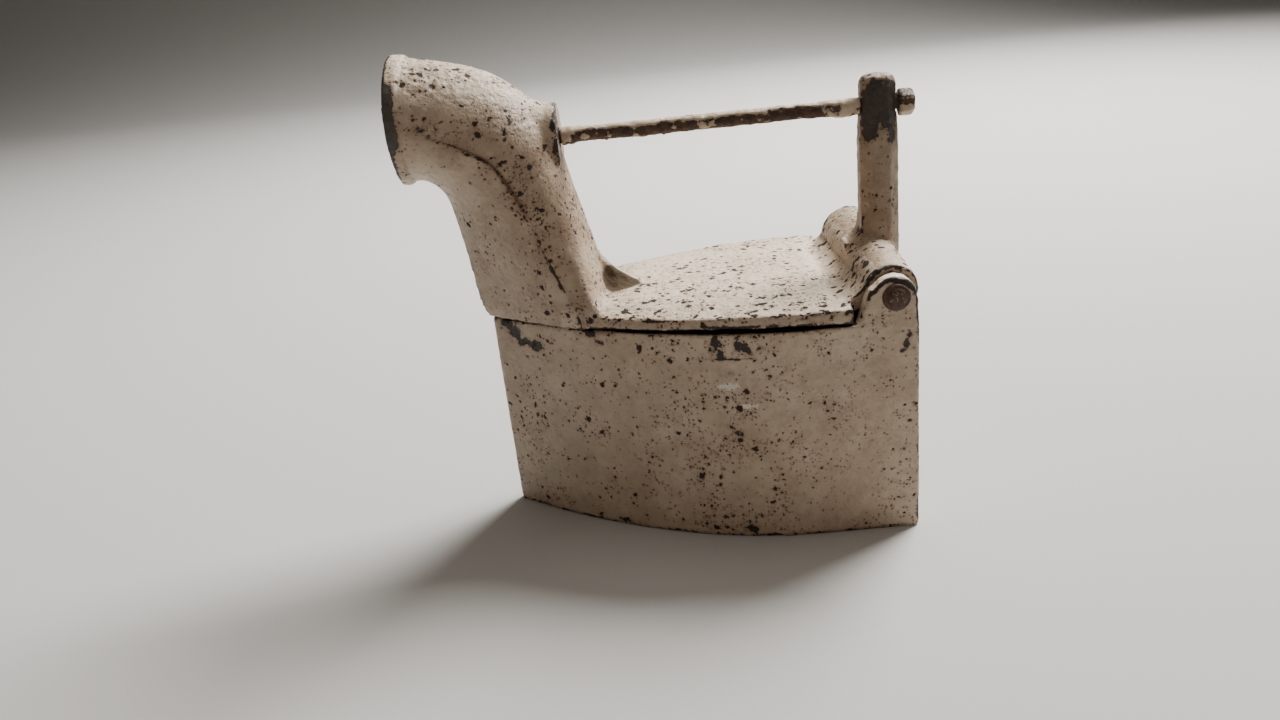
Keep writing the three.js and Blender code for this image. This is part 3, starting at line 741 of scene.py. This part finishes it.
LID_SPOTS = [
    # chimney
    (-60.6, -21, 170.5, 1.7, 6, 1.2), (-60.4, -21, 166.6, 1.3, 6, 2.4), (-62.2, -21, 163, 1, 6, 1.3),
    (-72.6, -21, 166.6, 1.3, 6, 1), (-71.6, -21, 163.4, 1, 6, 1.2), (-92.4, -22, 167, 1.9, 6, 1.1),
    (-88.4, -15, 187.3, 2.2, 4, 1.2), (-84, -15, 187, 2, 4, 1), (-81.6, -16, 184.8, 1.6, 4, 1),
    (-86.5, -16, 181.6, 1.3, 4, 0.9), (-69.3, -15, 181.4, 1.8, 4, 1.2), (-54.8, -20, 149.6, 1.2, 6, 0.9),
    # lug
    (LUG_BACK_X - 1, -10, 163, 1.5, 3, 3.2), (LUG_BACK_X - 1, -10.5, 154.5, 1.4, 3, 3.2),
    (LUG_BACK_X, 2, 169.5, 2, 6, 1.2), (LUG_BACK_X + 0.3, -6, 159.5, 1.3, 5.5, 9),
    # post
    (POST_X - 2.5, -7, 158, 7.4, 5.5, 9.4), (POST_X + 3.5, -6.5, 156.5, 5.8, 5.5, 9.6),
    (POST_X - 4.5, -5.5, 152, 3.4, 4.5, 9), (POST_X - 2.6, -7, 149.5, 2, 4, 1.6),
    (POST_X + 4.4, -6.6, 145.6, 2, 4, 3), (POST_X - 7.5, -3, 108.5, 1.8, 3, 1.4),
    (POST_X + 6, 6.5, 150, 4, 4, 6),
    # barrel
    (HINGE_X + 5, -43.2, 104, 3, 1, 1), (HINGE_X - 7, -43, 103, 1.8, 1.4, 1.4), (64, 42, 99, 2, 3, 6),
    # edge of the plate
    (51, -51, 90.2, 1.2, 3, 1), (55.6, -51, 91, 0.8, 3, 0.8), (10, -46, 88.6, 6, 4, 0.6),
    (24, -48, 88.6, 7, 4, 0.5), (-24, -38.5, 88.8, 1, 4, 0.8),
]
FAR_RIM_CHIPS = [
    (-25, 1.2), (-13, 1.6), (-7, 1.1), (5, 0.9), (16, 1.7), (20, 1), (31, 1.1), (44, 1), (51, 1.4),
]
LID_SPOTS += [(x, half_width(x) - 1, 93.8, reach, 1.5, 1.2) for x, reach in FAR_RIM_CHIPS]
DAMPER_SPOTS = [(DAMPER_HIGH[0], 4, 12, 8, 4, 4), (DAMPER_HIGH[0], 0, DRAFT_Z - 3, 2.5, 5, 5)]


def body_wear_and_shade(points, facing, hollow):
    x, y, z = points.T
    depth = np.minimum(half_width(x) - np.abs(y), HEEL_X - x)
    hidden = cut_by(points, hollow)
    rim = (z > RIM_Z - 1.5) & (z < RIM_Z + 0.6)
    # the rim's top face shows in the gap under the lid; it is darkened as sooty iron and as painted shade
    rim_soot_and_gap_shade = rise(0.9, 1.9, depth + 0.5 * fractal(points, 4, 7, 2)) * rim
    cluster = bell(x - 15, 28) * bell(z - 48, 22)
    under_lid = rise(60, 82, z) * rise(-34, 0, x) * (1 - rise(34, 58, x))
    sole = 1.4 * rise(0.75, 0.95, -facing[:, 2]) - 0.2
    return {
        "spots": np.maximum(patches(points, BODY_SPOTS), np.where(z < 1.5, sole, NOWHERE)),
        "scuffs": patches(points, BODY_SCUFFS),
        "edge": 1 - 0.6 * rise(66, 62, x) * rise(80, 88, z) * rise(99, 95, z),
        "pitted": 0.68 + cluster + 0.4 * under_lid + 0.2 * rise(30, 5, z),
        "chipped": 0.13 + 0.2 * cluster + 0.28 * under_lid,
        "crust": 0.8,
        "soot_and_gap_shade": np.where(hidden, 1, rim_soot_and_gap_shade),
        "hidden": hidden,
    }


CREASE_TOP_Z = 164
CREASE = np.array([ring[SKIN_STEPS] for ring in chimney_skin()])
CREASE = CREASE[CREASE[:, 2] < CREASE_TOP_Z]
# painted shade on the near face of the gusset behind the chimney: its centre and its reach along x, y and z
GUSSET_SHADE_CENTRE, GUSSET_SHADE_REACH = np.array([-26, -5.5, 97.5]), np.array([8.6, 7, 10])
MOUTH_LEAN = 0.0305  # how far the mouth leans back, in x for each mm of height


def lid_wear_and_shade(points, facing, hollow):
    x, y, z = points.T
    hidden = cut_by(points, hollow)
    depth = half_width(x) - np.abs(y)
    # the plate's underside shows in the gap; it is darkened with the sooty inside, partly as painted shade
    under = (z < 91.5) & (depth > 0.7) & (facing[:, 2] < 0.3) & (x < 60)
    hidden = hidden | under
    chimney = (x < -22) & (z > 94) | (x < -50)
    above_plate = z > 104
    rear = x > 60
    # behind the crease, the rear edge of the cowl that runs up the side of the chimney
    past_crease = x - np.interp(z, CREASE[:, 2], CREASE[:, 0])
    past = rise(-3, 1, past_crease)
    behind = past * (z < CREASE_TOP_Z) + rise(160, 172, z)
    low_back = past * rise(168, 150, z)
    along = bell(past_crease, 0.8) * rise(100, 112, z) * (z < 165) * (x < -40)
    along *= np.abs(y) > 14
    band = bell(past_crease, 8) * rise(98, 108, z) * rise(152, 138, z)
    top = rise(170, 184, z) * (x > -100)
    foot = rise(112, 96, z) * rise(-56, -46, x)

    on_chimney = 0.5 + 0.9 * np.clip(behind, 0, 1) + 0.4 * foot + 0.3 * top + band
    on_plate = 0.9 + 0.3 * rise(0, -40, y)
    pitted = np.where(chimney, on_chimney, np.where(above_plate, 0.6, on_plate))
    on_chimney = 0.16 + 0.6 * low_back + 0.25 * foot + 0.5 * rise(160, 176, z)
    on_plate = 1.05 + 0.45 * rise(10, -35, y) + 0.4 * rise(34, 42, y) + 0.3 * rear
    on_plate *= 1 - 0.55 * rise(0.5, 0.2, facing[:, 2])
    chips = np.where(chimney, on_chimney, np.where(above_plate, 0.65, on_plate))

    # painted shade: the gusset's near face, a line under the cowl's step along the crease, and the post above
    # the plate; no specks there
    away = np.linalg.norm((points - GUSSET_SHADE_CENTRE) / GUSSET_SHADE_REACH, axis=1)
    gusset_shade = rise(1.08, 0.9, away) * rise(0, 0.1, -facing[:, 1]) * (z > 92)
    painted_shade = np.maximum(gusset_shade, 0.9 * along * rise(126, 142, z))
    from_mouth = x - LID_LOW[0] - (z - STATIONS[-1][1]) * MOUTH_LEAN
    near_band = rise(4, -8, y) * rise(156, 164, z) * rise(186, 181, z)
    lip = 0.7 * (1.2 + 3.4 * near_band - from_mouth)
    spots = np.maximum(patches(points, LID_SPOTS), lip)
    return {
        "spots": np.maximum(spots, 0.75 * along - 1),
        "pitted": (pitted + 0.4 * along) * (1 - gusset_shade),
        "chipped": chips * (1 - gusset_shade),
        "crust": np.where(chimney, 0.9 + 2.2 * top, 1.6),
        # darker on the chimney and behind the crease, and darker on the post above the plate as painted shade
        "dirt_and_shade": 0.28 * chimney + 0.2 * low_back + 0.7 * above_plate * rear,
        "polish": 0.28 * rise(-2.5, 0, lip) + 0.12 * rise(140, 150, z) * rear,
        "soot_and_gap_shade": hidden,
        "painted_shade": np.maximum(painted_shade, 0.3 * rise(104, 116, z) * rear),
        "hidden": hidden,
    }


def damper_wear(points, _facing, _hollow):
    return {"spots": patches(points, DAMPER_SPOTS), "pitted": 0.8, "chipped": 0.5}


# ---- Materials

class Nodes:
    """Short calls for building a node tree."""

    def __init__(self, name):
        self.material = bpy.data.materials.new(name)
        self.material.use_nodes = True
        self.tree = self.material.node_tree
        self.shader = self.tree.nodes["Principled BSDF"]
        self.place = self.node("ShaderNodeTexCoord").outputs["Object"]

    def node(self, kind, settings=None, **inputs):
        made = self.tree.nodes.new(kind)
        for key, value in (settings or {}).items():
            setattr(made, key, value)
        for key, value in inputs.items():
            self.join(value, made.inputs[key.replace("_", " ")])
        return made

    def join(self, value, socket):
        if isinstance(value, bpy.types.NodeSocket):
            self.tree.links.new(value, socket)
        else:
            socket.default_value = value

    def work(self, kind, settings, values):
        """A node whose inputs are the values in order. Returns its first output."""
        made = self.node(kind, settings)
        for socket, value in zip(made.inputs, values):
            self.join(value, socket)
        return made.outputs[0]

    def math(self, operation, *values, clamp=False):
        return self.work("ShaderNodeMath", {"operation": operation, "use_clamp": clamp}, values)

    def vector(self, operation, *values):
        return self.work("ShaderNodeVectorMath", {"operation": operation}, values)

    def plus(self, a, b):
        return self.math("ADD", a, b)

    def minus(self, a, b):
        return self.math("SUBTRACT", a, b)

    def times(self, a, b):
        return self.math("MULTIPLY", a, b)

    def most(self, first, *others):
        for other in others:
            first = self.math("MAXIMUM", first, other)
        return first

    def ramp(self, value, low, high, to_low=0, to_high=1):
        """Maps value from low..high to to_low..to_high with soft ends."""
        settings = {"interpolation_type": "SMOOTHSTEP"}
        return self.work("ShaderNodeMapRange", settings, (value, low, high, to_low, to_high))

    def mix(self, factor, a, b):
        made = self.node("ShaderNodeMix", {"data_type": "RGBA"})
        self.join(factor, made.inputs[0])
        self.join(a, made.inputs[6])
        self.join(b, made.inputs[7])
        return made.outputs[2]

    def noise(self, scale, detail=3, rough=0.55, vector=None):
        vector = self.place if vector is None else vector
        made = self.node("ShaderNodeTexNoise", Vector=vector, Scale=scale, Detail=detail, Roughness=rough)
        return made.outputs[0]

    def attribute(self, name):
        return self.node("ShaderNodeAttribute", {"attribute_name": name}).outputs["Fac"]

    def shaken(self, scale, reach, rough=0.5):
        """The place pushed about by noise, so that round cells get ragged edges."""
        noise = self.node("ShaderNodeTexNoise", Vector=self.place, Scale=scale, Detail=3, Roughness=rough)
        return self.vector("MULTIPLY_ADD", noise.outputs["Color"], reach, self.place)

    def finish(self, colour, roughness, height, depth, strength):
        self.join(colour, self.shader.inputs["Base Color"])
        self.join(roughness, self.shader.inputs["Roughness"])
        bump = self.node("ShaderNodeBump", Height=height, Distance=depth, Strength=strength)
        self.join(bump.outputs[0], self.shader.inputs["Normal"])
        return self.material


def rgb(r, g, b):
    """A colour given as it looks on screen, 0 to 255, turned into the light values that shaders use."""
    values = [c / 255 for c in (r, g, b)]
    return tuple(c / 12.92 if c <= 0.04045 else ((c + 0.055) / 1.055) ** 2.4 for c in values) + (1,)


def pits(n, place, spacing, smallest, largest, share, density):
    """Ragged specks about spacing millimetres apart, as their depth and the stain around them.

    Only the given share of the cells holds one. Radii are in millimetres.
    """
    cells = n.node("ShaderNodeTexVoronoi", Vector=place, Scale=1 / (spacing * MM), Randomness=1)
    pick = n.node("ShaderNodeSeparateColor", Color=cells.outputs["Color"])
    size = n.ramp(pick.outputs[1], 0, 1, smallest / spacing, largest / spacing)
    inside = n.minus(size, cells.outputs["Distance"])
    chosen = n.math("LESS_THAN", pick.outputs[0], n.times(density, share))
    depth = n.times(n.math("MULTIPLY", inside, 11.0 * spacing, clamp=True), chosen)
    return depth, n.times(n.ramp(inside, -0.45 / spacing, 0), chosen)


def painted_iron(name, pale, deep, patina_and_side_shade):
    """Old thick paint on cast iron: pitted, chipped to the metal, brown in the hollows, sooty inside. It also
    carries painted shade: browner upright faces, a dark lid gap and a dark patch on the gusset.
    """
    n = Nodes(name)
    chipped, painted_shade = n.attribute("chipped"), n.attribute("painted_shade")

    # specks, flakes and small islands of lost paint, thicker in some places than in others
    ragged = n.shaken(900, (0.0016, 0.0016, 0.0016))
    torn = n.shaken(480, (0.0034, 0.0028, 0.0028), 0.6)
    streaked = n.vector("MULTIPLY", n.place, (0.85, 1, 1.1))
    cluster = n.ramp(n.noise(75, 4, vector=streaked), 0.36, 0.68, 0.12, 2)
    density = n.times(n.attribute("pitted"), cluster)
    medium, medium_stain = pits(n, ragged, 2.4, 0.3, 0.7, 0.3, density)
    small, small_stain = pits(n, ragged, 1.2, 0.16, 0.4, 0.3, density)
    flakes, flake_stain = pits(n, torn, 3.9, 0.4, 1.3, 0.7, n.times(chipped, n.times(cluster, cluster)))
    islands = n.math("MULTIPLY_ADD", cluster, 0.02, n.noise(270, 2, 0.5, streaked))
    over = n.minus(islands, n.math("MULTIPLY_ADD", chipped, -0.11, 0.81))
    chips = n.most(n.ramp(over, 0, 0.007), flakes)
    specks = n.most(medium, small, chips)
    stain = n.most(medium_stain, small_stain, n.ramp(over, -0.03, 0), flake_stain)

    # the large bare places
    rough_edge = n.times(n.minus(n.noise(560, 4, 0.65), 0.5), 2.6)
    gone = n.plus(n.attribute("bare"), rough_edge)
    bare = n.ramp(gone, 0, 0.16)
    halo = n.ramp(gone, -0.9, 0.1, 0, 0.7)
    worn = n.most(bare, specks)

    paint = n.mix(n.ramp(n.noise(24, 5, 0.6), 0.2, 0.8), pale, deep)
    paint = n.mix(n.ramp(n.noise(260, 4, 0.7), 0.42, 0.72, 0, 0.4), paint, patina_and_side_shade)
    # grimy brown in hollows, and painted shade that browns the upright faces
    grime_and_side_shade = n.times(n.attribute("grime_and_side_shade"), n.ramp(n.noise(90, 4), 0.25, 0.75, 0.65, 1))
    paint = n.mix(grime_and_side_shade, paint, patina_and_side_shade)
    # painted shade: a flat dark brown
    paint = n.mix(painted_shade, paint, rgb(82, 71, 58))
    paint = n.mix(n.times(n.most(halo, stain), 0.6), paint, rgb(122, 88, 66))
    scuff = n.ramp(n.plus(n.attribute("scuffed"), rough_edge), 0, 0.7, 0, 0.85)
    paint = n.mix(scuff, paint, rgb(226, 220, 208))

    rust = n.ramp(n.noise(420, 5, 0.7), 0.45, 0.65)
    iron = n.mix(rust, rgb(47, 41, 36), rgb(50, 36, 28))
    shiny = n.mix(n.noise(500, 4), rgb(150, 146, 140), rgb(96, 90, 84))
    iron = n.mix(n.times(n.attribute("polish"), 0.85), iron, shiny)
    speck_tone = n.mix(n.noise(800, 2), rgb(52, 38, 31), rgb(92, 67, 50))
    speck_tone = n.mix(chips, speck_tone, rgb(50, 38, 31))
    colour = n.mix(worn, paint, n.mix(bare, speck_tone, iron))
    # sooty inside the iron, and painted shade on the faces that show in the gap between lid and body
    sooty = n.plus(n.attribute("soot_and_gap_shade"), n.times(rough_edge, 0.15))
    soot_and_gap_shade_tone = n.mix(n.noise(200, 5, 0.65), rgb(44, 40, 38), rgb(78, 64, 54))
    colour = n.mix(n.ramp(sooty, 0.35, 0.65), colour, soot_and_gap_shade_tone)

    gloss = n.ramp(n.noise(300, 4), 0.3, 0.7, 0.4, 0.6)
    dull = n.times(n.most(specks, painted_shade), 0.85)
    # less sheen where the painted shade lies
    n.join(n.math("MULTIPLY_ADD", painted_shade, -0.38, 0.4), n.shader.inputs["Specular IOR Level"])
    fine = n.times(n.noise(1500, 5, 0.7), 0.3)
    brush = n.times(n.noise(420, 4, 0.6), 1.9)
    height = n.plus(n.plus(n.minus(1, worn), fine), brush)
    return n.finish(colour, n.most(gloss, dull), height, 0.0004, 0.9)


def bare_iron(name, dark, brown, flaking=False):
    """Rusted or worn iron. Where it is flaking, scabs of cream paint are left on it."""
    n = Nodes(name)
    rust = n.ramp(n.noise(260, 6, 0.7), 0.38, 0.66)
    grain = n.ramp(n.noise(1300, 3, 0.7), 0.3, 0.75)
    colour = n.mix(n.times(grain, 0.35), n.mix(rust, dark, brown), rgb(120, 88, 62))
    height = n.plus(n.noise(700, 6, 0.75), n.times(grain, 0.3))
    if flaking:
        edge = n.times(n.minus(n.noise(700, 4, 0.7), 0.5), 1.6)
        scab = n.ramp(n.plus(n.attribute("painted"), edge), 0, 0.2)
        colour = n.mix(scab, colour, n.mix(n.noise(300), rgb(205, 190, 168), rgb(168, 148, 124)))
        height = n.plus(height, n.times(scab, 0.9))
    n.shader.inputs["Metallic"].default_value = 0.25
    return n.finish(colour, n.ramp(n.noise(500, 4), 0.3, 0.7, 0.5, 0.85), height, 0.0003, 0.8)


# ---- Small pieces

def dense_turned(name, profile, axis, base, sides, spacing):
    """A turned piece whose profile is split into short steps, so that it can be dented."""
    fine = [profile[0]]
    for start, end in zip(profile, profile[1:]):
        count = max(1, int(math.dist(start, end) / spacing))
        fine += [tuple(point) for point in np.linspace(start, end, count + 1)[1:]]
    return turned(name, fine, axis, base, sides)


def dent(made, amount, size, seed, low, high):
    points = positions(made)
    points += normals(made) * (amount * fractal(points, size, seed))[:, None]
    set_positions(made, np.clip(points, low, high))
    return shade_smooth(made)


def rod_piece():
    length = ROD_HIGH[0] - ROD_LOW[0]
    profile = [(0.4, 0), (4, 0), (4.55, 0.5), (4.55, 2.1), (4.3, HEAD_THICKNESS), (ROD_RADIUS, 2.5)]
    profile += [(ROD_RADIUS, length - 0.5), (2, length), (0.3, length)]
    rod = dense_turned("handle_bolt", profile, "x", (ROD_LOW[0], 0, ROD_Z), 36, 0.45)
    points = positions(rod)
    facing = normals(rod)
    x = points[:, 0]
    shank = (x > LUG_BACK_X + 0.5) & (x < POST_X - 6.9)
    near_lug, near_post = rise(-26, -44, x), rise(55, 70, x)
    coat = 0.9 * fractal(points * [0.7, 1, 1], 2.6, 5) + 0.5 * fractal(points, 12, 13, 2)
    coat += 0.9 * rise(0.8, 2.2, points[:, 2] - ROD_Z) - 0.35 + 0.35 * near_lug + 0.2 * near_post
    painted = np.where(shank, coat * 1.6, -1)
    swell = 0.3 * fractal(points, 4.5, 17) + 0.2 * fractal(points, 1.8, 19, 2)
    ends = rise(-30, -44, x) + near_post
    swell += np.where(shank, 0.35 + 0.4 * rise(0, 0.25, painted) + 0.35 * ends, 0)
    points += facing * np.where(x > ROD_LOW[0] + HEAD_THICKNESS, swell, 0.3 * swell)[:, None]
    set_positions(rod, np.clip(points, ROD_LOW, ROD_HIGH))
    attribute(rod, "painted", painted)
    return shade_smooth(rod)


def nut_piece():
    """The six-sided nut, with its corners worn round."""
    length = NUT_HIGH[0] - NUT_LOW[0]
    corner = (NUT_HIGH[2] - NUT_LOW[2]) / 2 / math.cos(math.pi / 6) - 0.1
    outline = [(2.9, 0), (corner - 0.8, 0), (corner, 0.8), (corner, length - 1.5), (corner - 1.2, length)]
    outline += [(2.9, length), (2.9, length - 0.01)]
    nut = turned("bolt_nut", outline, "x", (NUT_LOW[0], 0, ROD_Z), 6, math.pi / 6)
    combine(nut, [drill(2.75, "x", (NUT_LOW[0] - 5, 0, ROD_Z), 20, 32)], "DIFFERENCE")
    even_out(nut, 0.28, 3).relax(14, 0.4)
    dent(nut, 0.3, 2.6, 23, NUT_LOW, NUT_HIGH)
    points = positions(nut)
    low = rise(ROD_Z + 1, ROD_Z - 3, points[:, 2] + 0.8 * fractal(points, 2.5, 29))
    attribute(nut, "painted", low + 0.5 * fractal(points, 1.6, 37) - 0.2)
    return nut


def pin_piece():
    """The hinge pin, with a ring hammered into its near head."""
    length = PIN_HIGH[1] - PIN_LOW[1]
    profile = [(0.4, 0), (2.2, 0.08), (3.6, 0.55), (4.6, 1.2), (5.1, 1.9), (5.15, 2.2), (2.98, 2.25)]
    profile += [(2.98, length - 1.25), (4.1, length - 0.9), (3.3, length - 0.2), (1.6, length), (0.3, length)]
    pin = dense_turned("hinge_pin_peened", profile, "y", (HINGE_X, PIN_LOW[1], HINGE_Z), 44, 0.35)
    points = positions(pin)
    away = np.hypot(points[:, 0] - HINGE_X, points[:, 2] - HINGE_Z)
    near = points[:, 1] < PIN_LOW[1] + 2.2
    groove = 0.45 * bell(away - 3.9, 0.5) + 0.3 * fractal(points, 2.2, 41, 2)
    points[:, 1] += np.where(near, np.clip(groove, 0, 1), 0)
    set_positions(pin, np.clip(points, PIN_LOW, PIN_HIGH))
    ring = bell(away - 4, 0.6)
    attribute(pin, "painted", 0.5 * fractal(points, 0.9, 43, 2) - 0.12 - 1.2 * ring)
    return shade_smooth(pin)


def washer_piece():
    outer = (WASHER_HIGH[0] - WASHER_LOW[0]) / 2
    thick = WASHER_HIGH[1] - WASHER_LOW[1]
    profile = [(3.4, 0.05), (outer - 0.3, 0), (outer, 0.25)]
    profile += [(outer, thick - 0.25), (outer - 0.3, thick), (3.4, thick - 0.05)]
    washer = dense_turned("pin_washer", profile, "y", (HINGE_X, WASHER_LOW[1], HINGE_Z), 48, 0.4)
    combine(washer, [drill(3.3, "y", (HINGE_X, WASHER_LOW[1] - 2, HINGE_Z), 6)], "DIFFERENCE")
    return dent(washer, 0.08, 3, 47, WASHER_LOW, WASHER_HIGH)


def grate_piece():
    """The boat-shaped grate, with two rows of round-ended slots across it."""
    slab = prism("grate_cast", boat_outline(WALL + 1.2), GRATE_LOW[2], GRATE_HIGH[2], "z")
    end = 2.9
    slots = []
    for x in np.arange(-42, 66, 11):
        reach = half_width(x) - 15.2
        for side in (-1, 1):
            low, high = sorted((side * 2.5, side * reach))
            far_end = arc_points((x + 3, high - end), end, 0, 180, 8)
            near_end = arc_points((x + 3, low + end), end, 180, 360, 8)
            outline = np.concatenate([far_end, near_end])
            slots.append(prism("slot", outline, GRATE_LOW[2] - 1, GRATE_HIGH[2] + 1, "z"))
    combine(slab, slots, "DIFFERENCE")
    even_out(slab, 0.8, 3).relax(2, 0.35)
    return dent(slab, 0.35, 7, 61, GRATE_LOW, GRATE_HIGH)


def damper_piece():
    """The damper plate, wide over the draft hole and narrow at its rivet, with a knob."""
    front, thick = DAMPER_LOW[0], 2.4
    radius, top = (DAMPER_HIGH[1] - DAMPER_LOW[1]) / 2, 6.5
    lean = math.degrees(math.asin((radius - top) / (DAMPER_PIVOT_Z - DRAFT_Z)))
    wide_end = arc_points((0, DRAFT_Z), radius, 180 - lean, 360 + lean, 40)
    narrow_end = arc_points((0, DAMPER_PIVOT_Z), top, lean, 180 - lean, 20)
    plate = prism("damper_cast", np.concatenate([wide_end, narrow_end]), front, front + thick, "x")
    profile = [(2.4, 0), (2.4, 2.2), (3.3, 3), (3.4, 3.8), (2.9, 4.7), (1.6, 5)]
    knob = turned("knob", profile, "x", (front + thick - 0.5, 0, DRAFT_Z - 3), 32)
    combine(plate, [knob], "UNION")
    bore = drill(RIVET_BORE, "x", (front - 4, 0, DAMPER_PIVOT_Z), 12, 32)
    return combine(plate, [bore], "DIFFERENCE")


def rivet_piece():
    length = RIVET_HIGH[0] - RIVET_LOW[0]
    profile = [(0.3, 0), (2.4, 0.3), (3.6, 1), (3.9, 1.75), (1.98, 1.8), (1.98, length - 1.85)]
    profile += [(3.9, length - 1.8), (3.5, length - 0.9), (2.2, length - 0.2), (0.3, length)]
    rivet = dense_turned("rivet", profile, "x", (RIVET_LOW[0], 0, DAMPER_PIVOT_Z), 32, 0.35)
    return dent(rivet, 0.12, 2.2, 67, RIVET_LOW, RIVET_HIGH)


def give(made, material, body, node):
    made.data.materials.clear()
    made.data.materials.append(material)
    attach(made, body)
    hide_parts(node)
    return made


# ---- Camera, floor, light

CAMERA_AT = np.array([-4.67, -392.99, 215.58])
CAMERA_YAW = math.radians(-2.59)
CAMERA_DOWN = math.radians(21.54)
CAMERA_ROLL = math.radians(6.2)
CAMERA_LENS = 28.13


def add_camera():
    lens = bpy.data.cameras.new("camera")
    lens.sensor_width = 36
    lens.lens = CAMERA_LENS
    lens.clip_start = 0.01
    camera = bpy.data.objects.new("camera", lens)
    turn = Matrix.Translation(CAMERA_AT * MM)
    for angle, axis in ((-CAMERA_YAW, "Z"), (math.pi / 2 - CAMERA_DOWN, "X"), (-CAMERA_ROLL, "Z")):
        turn = turn @ Matrix.Rotation(angle, 4, axis)
    camera.matrix_world = turn
    bpy.context.scene.collection.objects.link(camera)
    bpy.context.scene.camera = camera


def add_floor():
    """A pale sheet that lies flat under the iron and sweeps up far behind it."""
    bend, radius, side, top = 1800, 900, 6000, 3500
    profile = [(-4000, 0)]
    for angle in np.radians(np.linspace(0, 90, 19)):
        profile.append((bend + radius * math.sin(angle), radius * (1 - math.cos(angle))))
    profile.append((bend + radius, top))
    points = [(x, y, z) for y, z in profile for x in (-side, side)]
    faces = [(2 * k, 2 * k + 1, 2 * k + 3, 2 * k + 2) for k in range(len(profile) - 1)]
    floor = new_object("floor", points, faces)
    n = Nodes("pale_floor")
    n.join(rgb(185, 184, 181), n.shader.inputs["Base Color"])
    n.join(0.9, n.shader.inputs["Roughness"])
    floor.data.materials.append(n.material)
    shade_smooth(floor)


def add_light(name, place, target, size, power, colour, spread):
    light = bpy.data.lights.new(name, "AREA")
    light.shape = "DISK"
    light.size = size
    light.energy = power
    light.color = colour
    light.spread = math.radians(spread)
    lamp = bpy.data.objects.new(name, light)
    lamp.location = place
    lamp.rotation_euler = (Vector(target) - Vector(place)).to_track_quat("-Z", "Y").to_euler()
    bpy.context.scene.collection.objects.link(lamp)


def add_world():
    world = bpy.data.worlds.new("studio")
    world.use_nodes = True
    sky = world.node_tree.nodes["Background"]
    sky.inputs["Color"].default_value = (0.95, 0.92, 0.88, 1)
    sky.inputs["Strength"].default_value = 0.05
    bpy.context.scene.world = world


# ---- The scene

add_camera()
add_floor()
add_world()
add_light("key", (1, 1.1, 1.55), (0, 0.6, 0), 1.2, 49, (1, 0.98, 0.95), 95)
add_light("ceiling", (0, 0.1, 2.2), (0, 0, 0), 1.6, 13, (1, 0.92, 0.82), 180)
add_light("front_fill", (0, -1.7, 0.75), (0, 0, 0.08), 1.8, 2.4, (1, 0.66, 0.48), 180)

# the last colour browns hollows and patches of the old paint, and is also the painted shade on upright faces
cream = painted_iron("old_cream_paint", rgb(240, 226, 204), rgb(220, 201, 176), rgb(152, 131, 110))
rusted = bare_iron("rusted_iron", rgb(46, 38, 34), rgb(92, 64, 46))
flaking = bare_iron("flaking_rod", rgb(48, 40, 37), rgb(88, 66, 52), flaking=True)
sooty = bare_iron("sooty_iron", rgb(30, 28, 27), rgb(58, 46, 38))

body, chamber = body_shape()
finish_casting(body, BODY_VOXEL, BODY_LOW, BODY_HIGH, 0.22, body_wear_and_shade, chamber)
give(body, cream, "body", "body_casting")

lid, flue = lid_shape()
finish_casting(lid, LID_VOXEL, LID_LOW, LID_HIGH, 0.2, lid_wear_and_shade, flue)
give(lid, cream, "lid", "lid_casting")

damper = damper_piece()
finish_casting(damper, 0.4, DAMPER_LOW, DAMPER_HIGH, 0.08, damper_wear)
give(damper, cream, "damper", "damper_plate")

give(rod_piece(), flaking, "lid", "handle_rod")
give(nut_piece(), flaking, "lid", "rod_nut")
give(pin_piece(), flaking, "body", "hinge_pin")
give(washer_piece(), rusted, "body", "hinge_pin_washer")
give(grate_piece(), sooty, "body", "grate")
give(rivet_piece(), rusted, "body", "damper_rivet")
